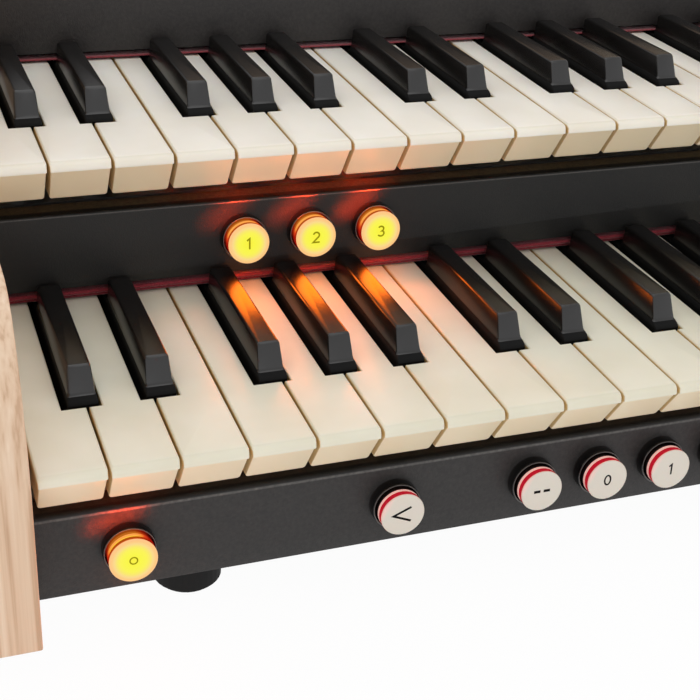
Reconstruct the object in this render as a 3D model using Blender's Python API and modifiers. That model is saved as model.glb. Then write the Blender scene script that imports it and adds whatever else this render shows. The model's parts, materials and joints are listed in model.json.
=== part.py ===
"""Two-manual table-top electronic organ with oak cheeks, 61 keys a manual and round thumb pistons.

The player sits on the -Y side, +X is the player's right, +Z is up.
The origin is on the surface that the feet stand on, under the middle of the case.
"""

import math

import bmesh
import bpy
from mathutils import Matrix, Vector

MM = 0.001
GAP = 0.3 * MM

# Case
CASE_WIDTH = 900 * MM
CASE_DEPTH = 480 * MM
CHEEK_THICK = 25 * MM
CHEEK_BOTTOM = 12.5 * MM
CHEEK_CURVES = ((34.4 * MM, 72.5 * MM), (34.4 * MM, 72.5 * MM), (70 * MM, 60 * MM))
CHEEK_TOPS = (134.6 * MM, 198.6 * MM, 254.5 * MM)
STEP_FILLET = 3 * MM
CASE_TOP = 248.5 * MM
SHEET = 1.5 * MM
BOARD = 4 * MM
FOOT_RADIUS = 12.8 * MM
FOOT_HEIGHT = 16.2 * MM

# Manuals
KEY_PITCH = 23.5 * MM
NATURALS = 36
KEY_GAP = 0.9 * MM
HEAD_LENGTH = 40.5 * MM
KEY_HEIGHT = 17.7 * MM
KEY_UNDERCUT = 10.1 * MM
NOSE_RADIUS = 3 * MM
NATURAL_LENGTH = 214 * MM
NOTCH_WIDTH = 13.9 * MM
SHARP_WIDTH = 10.8 * MM
SHARP_FACE_WIDTHS = (10.0 * MM, 8.8 * MM)
SHARP_SHIFT = 0.8 * MM
SHARP_FRONT = 42.2 * MM
SHARP_FACE = ((45.1 * MM, 1.8 * MM), (49.3 * MM, 11.5 * MM))
SHARP_REAR_RISE = 10.1 * MM
SHARP_CAP_END = 117.5 * MM
SHARP_LENGTH = 220 * MM
STICK_DEPTH = 16 * MM
PIVOT = (205 * MM, -10 * MM)
PIVOT_RADIUS = 2 * MM
OCTAVE_SHARPS = {0: 21.5 * MM, 1: 49.0 * MM, 3: 90.0 * MM, 4: 117.1 * MM, 5: 143.9 * MM}
NOTE_NAMES = ("c", "d", "e", "f", "g", "a", "b")
MANUAL_OFFSET = (106 * MM, 64 * MM)
LOWER_KEY_LEVEL = 76.5 * MM
NOSE_SETBACK = 6 * MM
FELT_LINE = 122 * MM
FELT_HEIGHTS = (6.3 * MM, 3.6 * MM)

# Slips and pistons
SLIP_SETBACK = 13.2 * MM
SLIP_TOPS = (-25.7 * MM, -26.8 * MM)
SLIP_HEIGHTS = (32.7 * MM, 30.6 * MM)
SLIP_LEAN = math.radians(3.5)
SLIP_FLANGE = 11 * MM
BEZEL_RADIUS = 9.4 * MM
BEZEL_FRONT = 4.2 * MM
PISTON_HOLE = 8.7 * MM
PISTON_RADIUS = 8.4 * MM
PISTON_FRONT = 10 * MM
PISTON_FLANGE = 9.8 * MM
PISTON_UP = (0.45 * MM, 0.05 * MM)
LOWER_PISTONS = {
    "set": 31, "previous": 129.4, "cancel": 185.6, "0": 213.6, "1": 241.6, "2": 269.6,
    "3": 297.6, "4": 325.6, "5": 353.6, "next": 409.8,
}
UPPER_PISTONS = {"1": 100.7, "2": 128.8, "3": 156.8}

# Control panel, above the upper manual
PANEL_FOOT = (228 * MM, 67.8 * MM)
PANEL_KNEE = (231 * MM, 101 * MM)
PANEL_HEAD = (329 * MM, 169 * MM)
SCREEN_SIZE = (200 * MM, 62 * MM)
KNOB_PLACE = 300 * MM

FRONT = -CASE_DEPTH / 2
NOSE_Y = FRONT + NOSE_SETBACK
KEYS_LEFT = -NATURALS * KEY_PITCH / 2
INNER_HALF = CASE_WIDTH / 2 - CHEEK_THICK
SPAN = INNER_HALF - GAP
BOARD_LEVEL = FOOT_HEIGHT + GAP

for leftover in list(bpy.data.objects):
    bpy.data.objects.remove(leftover, do_unlink=True)

organ = bpy.data.collections.new("electronic_organ")
cutters = bpy.data.collections.new("cutters")
for collection in (organ, cutters):
    bpy.context.scene.collection.children.link(collection)


def make_material(name, colour, roughness, metallic=0.0):
    """A Principled material in one plain colour."""
    material = bpy.data.materials.new(name)
    material.use_nodes = True
    shader = material.node_tree.nodes["Principled BSDF"]
    shader.inputs["Base Color"].default_value = (*colour, 1)
    shader.inputs["Roughness"].default_value = roughness
    shader.inputs["Metallic"].default_value = metallic
    return material


OAK = make_material("oak", (0.62, 0.46, 0.33), 0.55)
BLACK_STEEL = make_material("black_powder_coat", (0.028, 0.025, 0.024), 0.5)
IVORY = make_material("ivory_plastic", (0.78, 0.72, 0.58), 0.35)
BLACK_KEY = make_material("black_key_plastic", (0.012, 0.012, 0.013), 0.2)
FELT = make_material("crimson_felt", (0.22, 0.015, 0.03), 0.95)
RUBBER = make_material("black_rubber", (0.015, 0.015, 0.015), 0.8)
STEEL = make_material("zinc_plated_steel", (0.6, 0.6, 0.6), 0.35, 1.0)
CIRCUIT = make_material("green_circuit_board", (0.02, 0.12, 0.05), 0.45)
WHITE_CAP = make_material("white_piston_plastic", (0.8, 0.75, 0.68), 0.35)
SCREEN = make_material("dark_screen_glass", (0.01, 0.012, 0.015), 0.08)


def finish(obj, name, material, smooth=False):
    """Names an object, gives it one material and puts it in the organ's collection."""
    obj.name = name
    obj.data.name = name
    obj.data.materials.clear()
    obj.data.materials.append(material)
    for holder in list(obj.users_collection):
        holder.objects.unlink(obj)
    organ.objects.link(obj)
    if smooth:
        obj.data.shade_smooth()
        obj.data.set_sharp_from_angle(angle=math.radians(35))
    return obj


def make_cutter(obj, name):
    """Turns an object into a helper that is never seen."""
    obj.name = name
    for holder in list(obj.users_collection):
        holder.objects.unlink(obj)
    cutters.objects.link(obj)
    obj.hide_render = True
    obj.display_type = "WIRE"
    return obj


def solid_box(low, high):
    """A box between two corners, with its scale applied."""
    bpy.ops.mesh.primitive_cube_add(size=1)
    obj = bpy.context.object
    size = Vector(high) - Vector(low)
    obj.data.transform(Matrix.Diagonal((*size, 1)))
    obj.data.transform(Matrix.Translation((Vector(low) + Vector(high)) / 2))
    return obj


def solid_outline(points, low, high, across="X"):
    """A flat outline drawn as a filled 2D curve and given its thickness from low to high.

    Across X the outline's points are (y, z); across Z they are (x, y).
    """
    curve = bpy.data.curves.new("outline", "CURVE")
    curve.dimensions = "2D"
    curve.fill_mode = "BOTH"
    curve.extrude = (high - low) / 2
    spline = curve.splines.new("POLY")
    spline.points.add(len(points) - 1)
    for point, place in zip(spline.points, points):
        point.co = (place[0], place[1], 0, 1)
    spline.use_cyclic_u = True
    guide = bpy.data.objects.new("outline", curve)
    bpy.context.scene.collection.objects.link(guide)
    bpy.context.view_layer.update()
    evaluated = guide.evaluated_get(bpy.context.evaluated_depsgraph_get())
    mesh = bpy.data.meshes.new_from_object(evaluated)
    bpy.data.objects.remove(guide, do_unlink=True)
    shape = bmesh.new()
    shape.from_mesh(mesh)
    bmesh.ops.remove_doubles(shape, verts=shape.verts, dist=1e-6)
    bmesh.ops.dissolve_limit(shape, angle_limit=0.001, verts=shape.verts, edges=shape.edges)
    bmesh.ops.translate(shape, verts=shape.verts, vec=(0, 0, (low + high) / 2))
    if across == "X":
        stand = Matrix(((0, 0, 1, 0), (1, 0, 0, 0), (0, 1, 0, 0), (0, 0, 0, 1)))
        bmesh.ops.transform(shape, matrix=stand, verts=shape.verts)
    bmesh.ops.recalc_face_normals(shape, faces=shape.faces)
    shape.to_mesh(mesh)
    shape.free()
    obj = bpy.data.objects.new("solid", mesh)
    bpy.context.scene.collection.objects.link(obj)
    return obj


def turned(profile, steps=32):
    """A turned solid about Z, from (radius, height) points that run down its outer side."""
    mesh = bpy.data.meshes.new("turned")
    shape = bmesh.new()
    points = [shape.verts.new((radius, 0, height)) for radius, height in profile]
    for first, second in zip(points, points[1:]):
        shape.edges.new((first, second))
    shape.to_mesh(mesh)
    shape.free()
    obj = bpy.data.objects.new("turned", mesh)
    bpy.context.scene.collection.objects.link(obj)
    screw = obj.modifiers.new("Turn", "SCREW")
    screw.axis = "Z"
    screw.steps = steps
    screw.render_steps = steps
    screw.use_merge_vertices = True
    screw.merge_threshold = 0.00001
    return obj


def cylinder(radius, length, steps=24):
    """A cylinder about Z, centred on the origin."""
    bpy.ops.mesh.primitive_cylinder_add(radius=radius, depth=length, vertices=steps)
    return bpy.context.object


def joined(pieces):
    """One object from several whose bodies lie apart, all with their places applied."""
    shape = bmesh.new()
    for piece in pieces:
        copy = piece.data.copy()
        copy.transform(piece.matrix_basis)
        shape.from_mesh(copy)
        bpy.data.meshes.remove(copy)
        bpy.data.objects.remove(piece, do_unlink=True)
    mesh = bpy.data.meshes.new("joined")
    shape.to_mesh(mesh)
    shape.free()
    obj = bpy.data.objects.new("joined", mesh)
    bpy.context.scene.collection.objects.link(obj)
    return obj


def boolean(obj, other, operation):
    """An exact Boolean modifier."""
    modifier = obj.modifiers.new(operation.title(), "BOOLEAN")
    modifier.operation = operation
    modifier.object = other
    modifier.solver = "EXACT"
    return modifier


def set_origin(obj, place):
    """Moves an object's origin without moving its mesh."""
    obj.data.transform(Matrix.Translation(-Vector(place)))
    obj.location = place


def quarter(centre, radii, start, steps=8):
    """Points along a quarter of an ellipse, from the angle start anticlockwise."""
    points = []
    for step in range(steps + 1):
        angle = start + math.pi / 2 * step / steps
        points.append((centre[0] + radii[0] * math.cos(angle), centre[1] + radii[1] * math.sin(angle)))
    return points


def cheek_outline():
    """The cheek's side view: a rounded step at each manual and one more at the control panel."""
    points = [(-FRONT, CHEEK_BOTTOM), (-FRONT, CHEEK_TOPS[2])]
    starts = (FRONT, FRONT + MANUAL_OFFSET[0], NOSE_Y + PANEL_KNEE[0] + 8 * MM)
    for step in (2, 1, 0):
        depth, rise = CHEEK_CURVES[step]
        curve = quarter((starts[step] + depth, CHEEK_TOPS[step] - rise), (depth, rise), math.pi / 2)
        if step == 0:
            points += curve
            break
        floor = CHEEK_TOPS[step - 1]
        points += [point for point in curve if point[1] > floor + STEP_FILLET + 1 * MM]
        points += fillet(starts[step], floor)
    points.append((FRONT, CHEEK_BOTTOM))
    return points


def fillet(wall, floor):
    """The inner curve where a step's wall at y = wall comes down to its floor."""
    centre = (wall - STEP_FILLET, floor + STEP_FILLET)
    return [
        (centre[0] + STEP_FILLET * math.cos(angle), centre[1] + STEP_FILLET * math.sin(angle))
        for angle in (-math.pi / 6 * step for step in range(4))
    ]


def make_case():
    """The two oak cheeks, the steel boards between them, the feet and the music desk."""
    for side, low in (("left", -CASE_WIDTH / 2), ("right", INNER_HALF)):
        cheek = solid_outline(cheek_outline(), low, low + CHEEK_THICK)
        finish(cheek, f"{side}_cheek", OAK)
    back = -FRONT - 4 * MM
    front = NOSE_Y + SLIP_SETBACK + SLIP_FLANGE + GAP
    floor = solid_box((-SPAN, front, BOARD_LEVEL), (SPAN, back - BOARD - GAP, BOARD_LEVEL + BOARD))
    finish(floor, "bottom_board", BLACK_STEEL)
    cover = solid_box(
        (-SPAN, NOSE_Y + PANEL_HEAD[0] + 2 * MM, CASE_TOP - BOARD), (SPAN, back, CASE_TOP)
    )
    finish(cover, "top_cover", BLACK_STEEL)
    for row, y in (("front", NOSE_Y + 36.5 * MM), ("rear", -FRONT - 40 * MM)):
        for side, x in (("left", KEYS_LEFT + 57 * MM), ("right", -KEYS_LEFT - 57 * MM)):
            foot = turned([
                (0, FOOT_HEIGHT), (FOOT_RADIUS - 0.6 * MM, FOOT_HEIGHT), (FOOT_RADIUS, FOOT_HEIGHT - 3 * MM),
                (FOOT_RADIUS, 1.5 * MM), (FOOT_RADIUS - 1.5 * MM, 0), (0, 0),
            ])
            foot.location = (x, y, 0)
            finish(foot, f"{row}_{side}_foot", RUBBER, smooth=True)
    make_music_desk()


def make_music_desk():
    """A leaning board with a ledge, standing on the top cover."""
    foot_y = NOSE_Y + PANEL_HEAD[0] + 12 * MM
    foot_z = CASE_TOP + GAP
    lean = math.radians(15)
    tall = 225 * MM
    thick = 8 * MM
    ledge_depth = 20 * MM
    along = Vector((math.sin(lean), math.cos(lean)))
    front_foot = Vector((foot_y + ledge_depth, foot_z + 5 * MM))
    back_shift = Vector((math.cos(lean), -math.sin(lean))) * thick
    head = front_foot + along * tall
    outline = [
        (foot_y, foot_z), (foot_y, foot_z + 13 * MM), (foot_y + 3 * MM, foot_z + 13 * MM),
        (foot_y + 3 * MM, foot_z + 5 * MM), tuple(front_foot), tuple(head), tuple(head + back_shift),
        tuple(front_foot + back_shift + along * 40 * MM), (foot_y + 75 * MM, foot_z + 6 * MM),
        (foot_y + 75 * MM, foot_z),
    ]
    desk = solid_outline(outline, -310 * MM, 310 * MM)
    finish(desk, "music_desk", OAK)


def slip_outline(manual):
    """A folded steel strip: its leaning face, a rounded top edge and a flange at the top and bottom."""
    lean = Vector((math.sin(SLIP_LEAN), math.cos(SLIP_LEAN)))
    foot = Vector(slip_foot(manual))
    head = foot + lean * SLIP_HEIGHTS[manual]
    bend = 1.5 * MM
    outer = [
        tuple(foot + Vector((SLIP_FLANGE, 0))), tuple(foot + Vector((0.5 * MM, 0))),
        tuple(foot + lean * 0.5 * MM), tuple(head - lean * bend),
        (head.x + 0.44 * MM, head.y - 0.44 * MM), (head.x + bend, head.y),
        (head.x + SLIP_FLANGE, head.y),
    ]
    inner_head = head + Vector((SHEET, -SHEET))
    inner_foot = foot + Vector((SHEET, SHEET))
    inner = [
        (head.x + SLIP_FLANGE, head.y - SHEET), tuple(inner_head), tuple(inner_foot),
        tuple(foot + Vector((SLIP_FLANGE, SHEET))),
    ]
    return outer + inner


def piston_matrix(manual, x):
    """Where a piston's axis meets the slip's face: local +Z points out of the face, local +Y up along it."""
    outward = Vector((0, -math.cos(SLIP_LEAN), math.sin(SLIP_LEAN)))
    upward = Vector((0, math.sin(SLIP_LEAN), math.cos(SLIP_LEAN)))
    centre = Vector((0, *slip_foot(manual))) + upward * (SLIP_HEIGHTS[manual] / 2 + PISTON_UP[manual])
    place = Matrix.Translation((KEYS_LEFT + x * MM, centre.y, centre.z))
    turn = Matrix((Vector((1, 0, 0)), upward, outward)).transposed().to_4x4()
    return place @ turn


def slip_foot(manual):
    """The bottom front edge of a manual's slip, as (y, z)."""
    y = NOSE_Y + manual * MANUAL_OFFSET[0] + SLIP_SETBACK
    z = LOWER_KEY_LEVEL + manual * MANUAL_OFFSET[1] + SLIP_TOPS[manual] - SLIP_HEIGHTS[manual]
    return y, z


def make_slip(manual, name, places):
    """A slip with a raised bezel and a through hole for every piston."""
    slip = solid_outline(slip_outline(manual), -SPAN, SPAN)
    bezels, holes = [], []
    for x in places:
        matrix = piston_matrix(manual, x)
        bezel = cylinder(BEZEL_RADIUS, BEZEL_FRONT + 0.6 * MM)
        bezel.matrix_basis = matrix @ Matrix.Translation((0, 0, (BEZEL_FRONT - 0.6 * MM) / 2))
        bezels.append(bezel)
        hole = cylinder(PISTON_HOLE, 16 * MM)
        hole.matrix_basis = matrix
        holes.append(hole)
    boolean(slip, make_cutter(joined(bezels), name + "_bezels"), "UNION")
    boolean(slip, make_cutter(joined(holes), name + "_holes"), "DIFFERENCE")
    finish(slip, name, BLACK_STEEL)


def make_piston(name, manual, x):
    """A push button: its domed cap, the ring under it, and the flange that holds it behind the slip."""
    ring = PISTON_RADIUS - 0.25 * MM
    piston = turned([
        (0, PISTON_FRONT), (PISTON_RADIUS - 0.9 * MM, PISTON_FRONT - 0.1 * MM),
        (PISTON_RADIUS, PISTON_FRONT - 0.6 * MM), (PISTON_RADIUS, PISTON_FRONT - 1.1 * MM),
        (ring, PISTON_FRONT - 1.2 * MM), (ring, -2 * MM), (PISTON_FLANGE, -2 * MM),
        (PISTON_FLANGE, -3.2 * MM), (0, -3.2 * MM),
    ], steps=24)
    piston.matrix_basis = piston_matrix(manual, x)
    finish(piston, name, WHITE_CAP, smooth=True)


def natural_edges(index):
    """A natural's left and right edges, at its head and along its tail."""
    octave, step = divmod(index, 7)
    left = index * KEY_PITCH
    head = (left + KEY_GAP / 2, left + KEY_PITCH - KEY_GAP / 2)
    start = octave * 7 * KEY_PITCH
    tail = list(head)
    if step - 1 in OCTAVE_SHARPS and index > 0:
        tail[0] = start + OCTAVE_SHARPS[step - 1] + NOTCH_WIDTH / 2
    if step in OCTAVE_SHARPS and index < NATURALS - 1:
        tail[1] = start + OCTAVE_SHARPS[step] - NOTCH_WIDTH / 2
    return head, tuple(tail)


def make_natural(index, origin):
    """A natural key: wide head with an undercut front and rounded nose, and a narrower tail."""
    head, tail = natural_edges(index)
    outline = [(head[0], 0), (head[1], 0), (head[1], HEAD_LENGTH)]
    if tail[1] != head[1]:
        outline.append((tail[1], HEAD_LENGTH))
    outline += [(tail[1], NATURAL_LENGTH), (tail[0], NATURAL_LENGTH)]
    if tail[0] != head[0]:
        outline.append((tail[0], HEAD_LENGTH))
    outline.append((head[0], HEAD_LENGTH))
    outline = [(x + KEYS_LEFT, y + origin[0]) for x, y in dict.fromkeys(outline)]
    key = solid_outline(outline, origin[1] - KEY_HEIGHT, origin[1], across="Z")
    shape = bmesh.new()
    shape.from_mesh(key.data)
    for vert in shape.verts:
        if vert.co.y < origin[0] + 1e-5 and vert.co.z < origin[1] - 1e-5:
            vert.co.y += KEY_UNDERCUT
    nose = [
        edge for edge in shape.edges
        if all(abs(v.co.y - origin[0]) < 1e-5 and abs(v.co.z - origin[1]) < 1e-5 for v in edge.verts)
    ]
    bmesh.ops.bevel(shape, geom=nose, offset=NOSE_RADIUS, segments=2, profile=0.5, affect="EDGES")
    shape.to_mesh(key.data)
    shape.free()
    return key


def sharp_centre(octave, step):
    """The middle of a sharp's cap, from the left end of the manual: a little right of the notch's middle."""
    return octave * 7 * KEY_PITCH + OCTAVE_SHARPS[step] + SHARP_SHIFT


def make_sharp(octave, step, origin):
    """A sharp key: a tapered cap, its front sloping to a skirt, on a stick that bridges the spine."""
    rear = SHARP_LENGTH
    step_y = PIVOT[0]
    outline = [
        (SHARP_FRONT, -STICK_DEPTH), (step_y, -STICK_DEPTH), (step_y, -8.9 * MM),
        (NATURAL_LENGTH + 0.6 * MM, -8.9 * MM), (NATURAL_LENGTH + 0.6 * MM, -STICK_DEPTH),
        (rear, -STICK_DEPTH), (rear, -0.5 * MM), (SHARP_CAP_END, -0.5 * MM),
        (SHARP_CAP_END, SHARP_REAR_RISE), SHARP_FACE[1], SHARP_FACE[0], (SHARP_FRONT + 1 * MM, 0.9 * MM),
        (SHARP_FRONT, -0.5 * MM),
    ]
    outline = [(y + origin[0], z + origin[1]) for y, z in outline]
    centre = KEYS_LEFT + sharp_centre(octave, step)
    key = solid_outline(outline, centre - SHARP_WIDTH / 2, centre + SHARP_WIDTH / 2)
    (_, face_low), (_, face_high) = SHARP_FACE
    for vert in key.data.vertices:
        rise = vert.co.z - origin[1]
        if rise > 1 * MM:
            share = (rise - face_low) / (face_high - face_low)
            width = SHARP_FACE_WIDTHS[0] + (SHARP_FACE_WIDTHS[1] - SHARP_FACE_WIDTHS[0]) * share
            vert.co.x = centre + (vert.co.x - centre) * width / SHARP_WIDTH
    return key


def rod_slot(origin):
    """The cutter that opens every key of a manual over its pivot rod, from below."""
    y = origin[0] + PIVOT[0]
    top = origin[1] + PIVOT[1] + PIVOT_RADIUS + 0.4 * MM
    width = PIVOT_RADIUS + 0.4 * MM
    return solid_box((-SPAN, y - width, origin[1] - KEY_HEIGHT - 5 * MM), (SPAN, y + width, top))


def make_comb(name, keys, spine_low, spine_high, slot, pivot, material):
    """Several keys moulded together on one spine behind the pivot rod."""
    spine = solid_box(spine_low, spine_high)
    keys_helper = make_cutter(joined(keys), name + "_keys")
    boolean(spine, keys_helper, "UNION")
    boolean(spine, slot, "DIFFERENCE")
    finish(spine, name, material)
    set_origin(spine, pivot)


def make_manual(manual, name, singles):
    """One manual: single keys for the first naturals, combs for the rest, frame, rod and contacts."""
    origin = (NOSE_Y + manual * MANUAL_OFFSET[0], LOWER_KEY_LEVEL + manual * MANUAL_OFFSET[1])
    slot = make_cutter(rod_slot(origin), name + "_rod_slot")
    pivot = Vector((0, origin[0] + PIVOT[0], origin[1] + PIVOT[1]))
    for index in range(singles):
        key = make_natural(index, origin)
        boolean(key, slot, "DIFFERENCE")
        finish(key, f"{name}_key_{NOTE_NAMES[index]}", IVORY)
        set_origin(key, pivot)
        if index in OCTAVE_SHARPS:
            key = make_sharp(0, index, origin)
            boolean(key, slot, "DIFFERENCE")
            finish(key, f"{name}_key_{NOTE_NAMES[index]}_sharp", BLACK_KEY)
            set_origin(key, pivot)
    naturals = [make_natural(index, origin) for index in range(singles, NATURALS)]
    left = KEYS_LEFT + natural_edges(singles)[1][0] + 1 * MM
    right = KEYS_LEFT + natural_edges(NATURALS - 1)[1][1] - 1 * MM
    spine_y = (origin[0] + NATURAL_LENGTH - 5.2 * MM, origin[0] + NATURAL_LENGTH - 0.6 * MM)
    make_comb(
        f"{name}_naturals", naturals, (left, spine_y[0], origin[1] - KEY_HEIGHT + 0.2 * MM),
        (right, spine_y[1], origin[1] - 9.6 * MM), slot, pivot, IVORY,
    )
    places = [(octave, step) for octave in range(5) for step in OCTAVE_SHARPS]
    places = [place for place in places if place[0] * 7 + place[1] >= singles]
    sharps = [make_sharp(octave, step, origin) for octave, step in places]
    left = KEYS_LEFT + sharp_centre(*places[0])
    right = KEYS_LEFT + sharp_centre(*places[-1])
    spine_y = (origin[0] + NATURAL_LENGTH + 1 * MM, origin[0] + SHARP_LENGTH - 0.4 * MM)
    make_comb(
        f"{name}_sharps", sharps, (left, spine_y[0], origin[1] - STICK_DEPTH + 0.3 * MM),
        (right, spine_y[1], origin[1] - 0.9 * MM), slot, pivot, BLACK_KEY,
    )
    make_manual_frame(manual, name, origin, pivot)


def make_manual_frame(manual, name, origin, pivot):
    """The folded steel frame under a manual, its pivot rod and its contact board."""
    floor = BOARD_LEVEL + BOARD + GAP
    top = origin[1] - 27.5 * MM
    front, rear = origin[0] + 30 * MM, origin[0] + 224 * MM
    front_foot = floor if manual == 0 else LOWER_KEY_LEVEL + 14 * MM
    outline = [
        (front, front_foot), (front, top), (rear - SHEET, top), (rear - SHEET, origin[1] - 2 * MM),
        (rear, origin[1] - 2 * MM), (rear, floor), (rear - SHEET, floor),
        (rear - SHEET, top - SHEET), (front + SHEET, top - SHEET), (front + SHEET, front_foot),
    ]
    finish(solid_outline(outline, -SPAN, SPAN), f"{name}_key_frame", STEEL)
    rod = cylinder(PIVOT_RADIUS, 2 * SPAN, steps=16)
    rod.data.transform(Matrix.Rotation(math.pi / 2, 4, "Y"))
    rod.location = pivot
    finish(rod, f"{name}_pivot_rod", STEEL, smooth=True)
    board_y = origin[0] + 118 * MM
    board_z = top + GAP
    profile = [
        (board_y, board_z), (board_y, board_z + 1.6 * MM), (board_y + 12 * MM, board_z + 1.6 * MM),
        (board_y + 14 * MM, board_z + 4.6 * MM), (board_y + 24 * MM, board_z + 4.6 * MM),
        (board_y + 26 * MM, board_z + 1.6 * MM), (board_y + 42 * MM, board_z + 1.6 * MM),
        (board_y + 42 * MM, board_z),
    ]
    finish(solid_outline(profile, KEYS_LEFT, -KEYS_LEFT), f"{name}_contact_board", CIRCUIT)


def make_felt(manual, name):
    """The felt strip between the naturals and the sheet above them."""
    y = NOSE_Y + manual * MANUAL_OFFSET[0] + FELT_LINE
    z = LOWER_KEY_LEVEL + manual * MANUAL_OFFSET[1]
    strip = solid_box((-SPAN, y + 0.2 * MM, z + 0.4 * MM), (SPAN, y + 6 * MM, z + FELT_HEIGHTS[manual]))
    finish(strip, name, FELT)


def panel_place(along):
    """A point on the control panel's slope, and the direction out of it."""
    knee, head = Vector(PANEL_KNEE), Vector(PANEL_HEAD)
    point = knee + (head - knee) * along
    slope = (head - knee).normalized()
    place = Vector((0, NOSE_Y + point.x, LOWER_KEY_LEVEL + point.y))
    return place, Vector((0, slope.x, slope.y)), Vector((0, -slope.y, slope.x))


def panel_matrix(x, along):
    """Local +Z out of the slope, local +Y up along it."""
    place, upward, outward = panel_place(along)
    turn = Matrix((Vector((1, 0, 0)), upward, outward)).transposed().to_4x4()
    return Matrix.Translation((x, place.y, place.z)) @ turn


def make_control_panel():
    """The folded panel above the upper manual, with its screen and volume knob."""
    outer = [Vector(PANEL_FOOT), Vector(PANEL_KNEE), Vector(PANEL_HEAD)]
    shift = [Vector((SHEET, 0)), Vector((SHEET, -0.6 * SHEET)), Vector((0, -1.3 * SHEET))]
    points = outer + [place + move for place, move in zip(reversed(outer), reversed(shift))]
    points = [(NOSE_Y + point.x, LOWER_KEY_LEVEL + point.y) for point in points]
    panel = solid_outline(points, -SPAN, SPAN)
    window = solid_box((-0.5, -0.5, -0.5), (0.5, 0.5, 0.5))
    window.data.transform(Matrix.Diagonal((*SCREEN_SIZE, 20 * MM, 1)))
    window.matrix_basis = panel_matrix(0, 0.5)
    knob_hole = cylinder(3.6 * MM, 20 * MM)
    knob_hole.matrix_basis = panel_matrix(KNOB_PLACE, 0.5)
    boolean(panel, make_cutter(joined([window, knob_hole]), "control_panel_openings"), "DIFFERENCE")
    finish(panel, "control_panel", BLACK_STEEL)
    screen = solid_box((-0.5, -0.5, -0.5), (0.5, 0.5, 0.5))
    size = (SCREEN_SIZE[0] - 2 * GAP, SCREEN_SIZE[1] - 2 * GAP, 6 * MM, 1)
    screen.data.transform(Matrix.Diagonal(size))
    screen.data.transform(Matrix.Translation((0, 0, -2.6 * MM)))
    screen.matrix_basis = panel_matrix(0, 0.5)
    finish(screen, "display_screen", SCREEN)
    knob = turned([
        (0, 16 * MM), (9 * MM, 16 * MM), (10 * MM, 15 * MM), (11 * MM, 0.6 * MM),
        (3 * MM, 0.6 * MM), (3 * MM, -9 * MM), (0, -9 * MM),
    ])
    knob.matrix_basis = panel_matrix(KNOB_PLACE, 0.5)
    finish(knob, "volume_knob", BLACK_KEY, smooth=True)


def make_back():
    """The back panel with the speakers behind their openings, the inlet, the switch and the sockets."""
    outside = -FRONT - 4 * MM
    inside = outside - BOARD
    panel = solid_box((-SPAN, inside, BOARD_LEVEL), (SPAN, outside, CASE_TOP - BOARD - GAP))
    middle = 165 * MM
    holes = []
    for x in (-300 * MM, 300 * MM):
        hole = cylinder(44 * MM, 20 * MM, steps=32)
        hole.matrix_basis = Matrix.Translation((x, outside, middle)) @ Matrix.Rotation(math.pi / 2, 4, "X")
        holes.append(hole)
    for low, high in (((-400, 40), (-370, 62)), ((-360, 40), (-344, 62)), ((150, 36), (230, 58))):
        holes.append(solid_box(
            (low[0] * MM, inside - 10 * MM, low[1] * MM), (high[0] * MM, outside + 10 * MM, high[1] * MM)
        ))
    boolean(panel, make_cutter(joined(holes), "back_panel_openings"), "DIFFERENCE")
    finish(panel, "back_panel", BLACK_STEEL)
    for side, x in (("left", -300 * MM), ("right", 300 * MM)):
        speaker = turned([
            (0, -9 * MM), (12 * MM, -8 * MM), (16 * MM, -14 * MM), (38 * MM, -1.5 * MM), (42 * MM, 0),
            (52 * MM, 0), (52 * MM, -4 * MM), (26 * MM, -28 * MM), (26 * MM, -44 * MM), (0, -44 * MM),
        ], steps=28)
        place = Matrix.Translation((x, inside - GAP, middle))
        speaker.matrix_basis = place @ Matrix.Rotation(-math.pi / 2, 4, "X")
        finish(speaker, f"{side}_speaker", RUBBER, smooth=True)
    make_sockets(inside, outside)


def make_sockets(inside, outside):
    """The mains inlet, the rocker switch and the audio sockets in the back panel."""
    inlet = solid_box((-399.7 * MM, inside - 16 * MM, 40.3 * MM), (-370.3 * MM, outside + 2 * MM, 61.7 * MM))
    well = solid_box((-397 * MM, outside - 12 * MM, 43 * MM), (-373 * MM, outside + 10 * MM, 59 * MM))
    boolean(inlet, make_cutter(well, "power_inlet_well"), "DIFFERENCE")
    finish(inlet, "power_inlet", RUBBER)
    middle = outside - 1 * MM
    rocker = [
        (middle + 3.5 * MM, 60.8 * MM), (middle + 1.5 * MM, 51 * MM), (middle + 2.2 * MM, 41.2 * MM),
        (middle - 4 * MM, 42.5 * MM), (middle - 4 * MM, 59.5 * MM),
    ]
    switch = solid_outline(rocker, -359.3 * MM, -344.7 * MM)
    finish(switch, "power_switch", BLACK_KEY)
    set_origin(switch, (-352 * MM, middle - 3 * MM, 51 * MM))
    block = solid_box((150.3 * MM, inside - 14 * MM, 36.3 * MM), (229.7 * MM, outside + 1 * MM, 57.7 * MM))
    bores = []
    for x in (165, 190, 215):
        bore = cylinder(1.75 * MM, 20 * MM, steps=12)
        turn = Matrix.Rotation(math.pi / 2, 4, "X")
        bore.matrix_basis = Matrix.Translation((x * MM, outside - 2 * MM, 47 * MM)) @ turn
        bores.append(bore)
    boolean(block, make_cutter(joined(bores), "audio_socket_bores"), "DIFFERENCE")
    finish(block, "audio_sockets", RUBBER)


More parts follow.
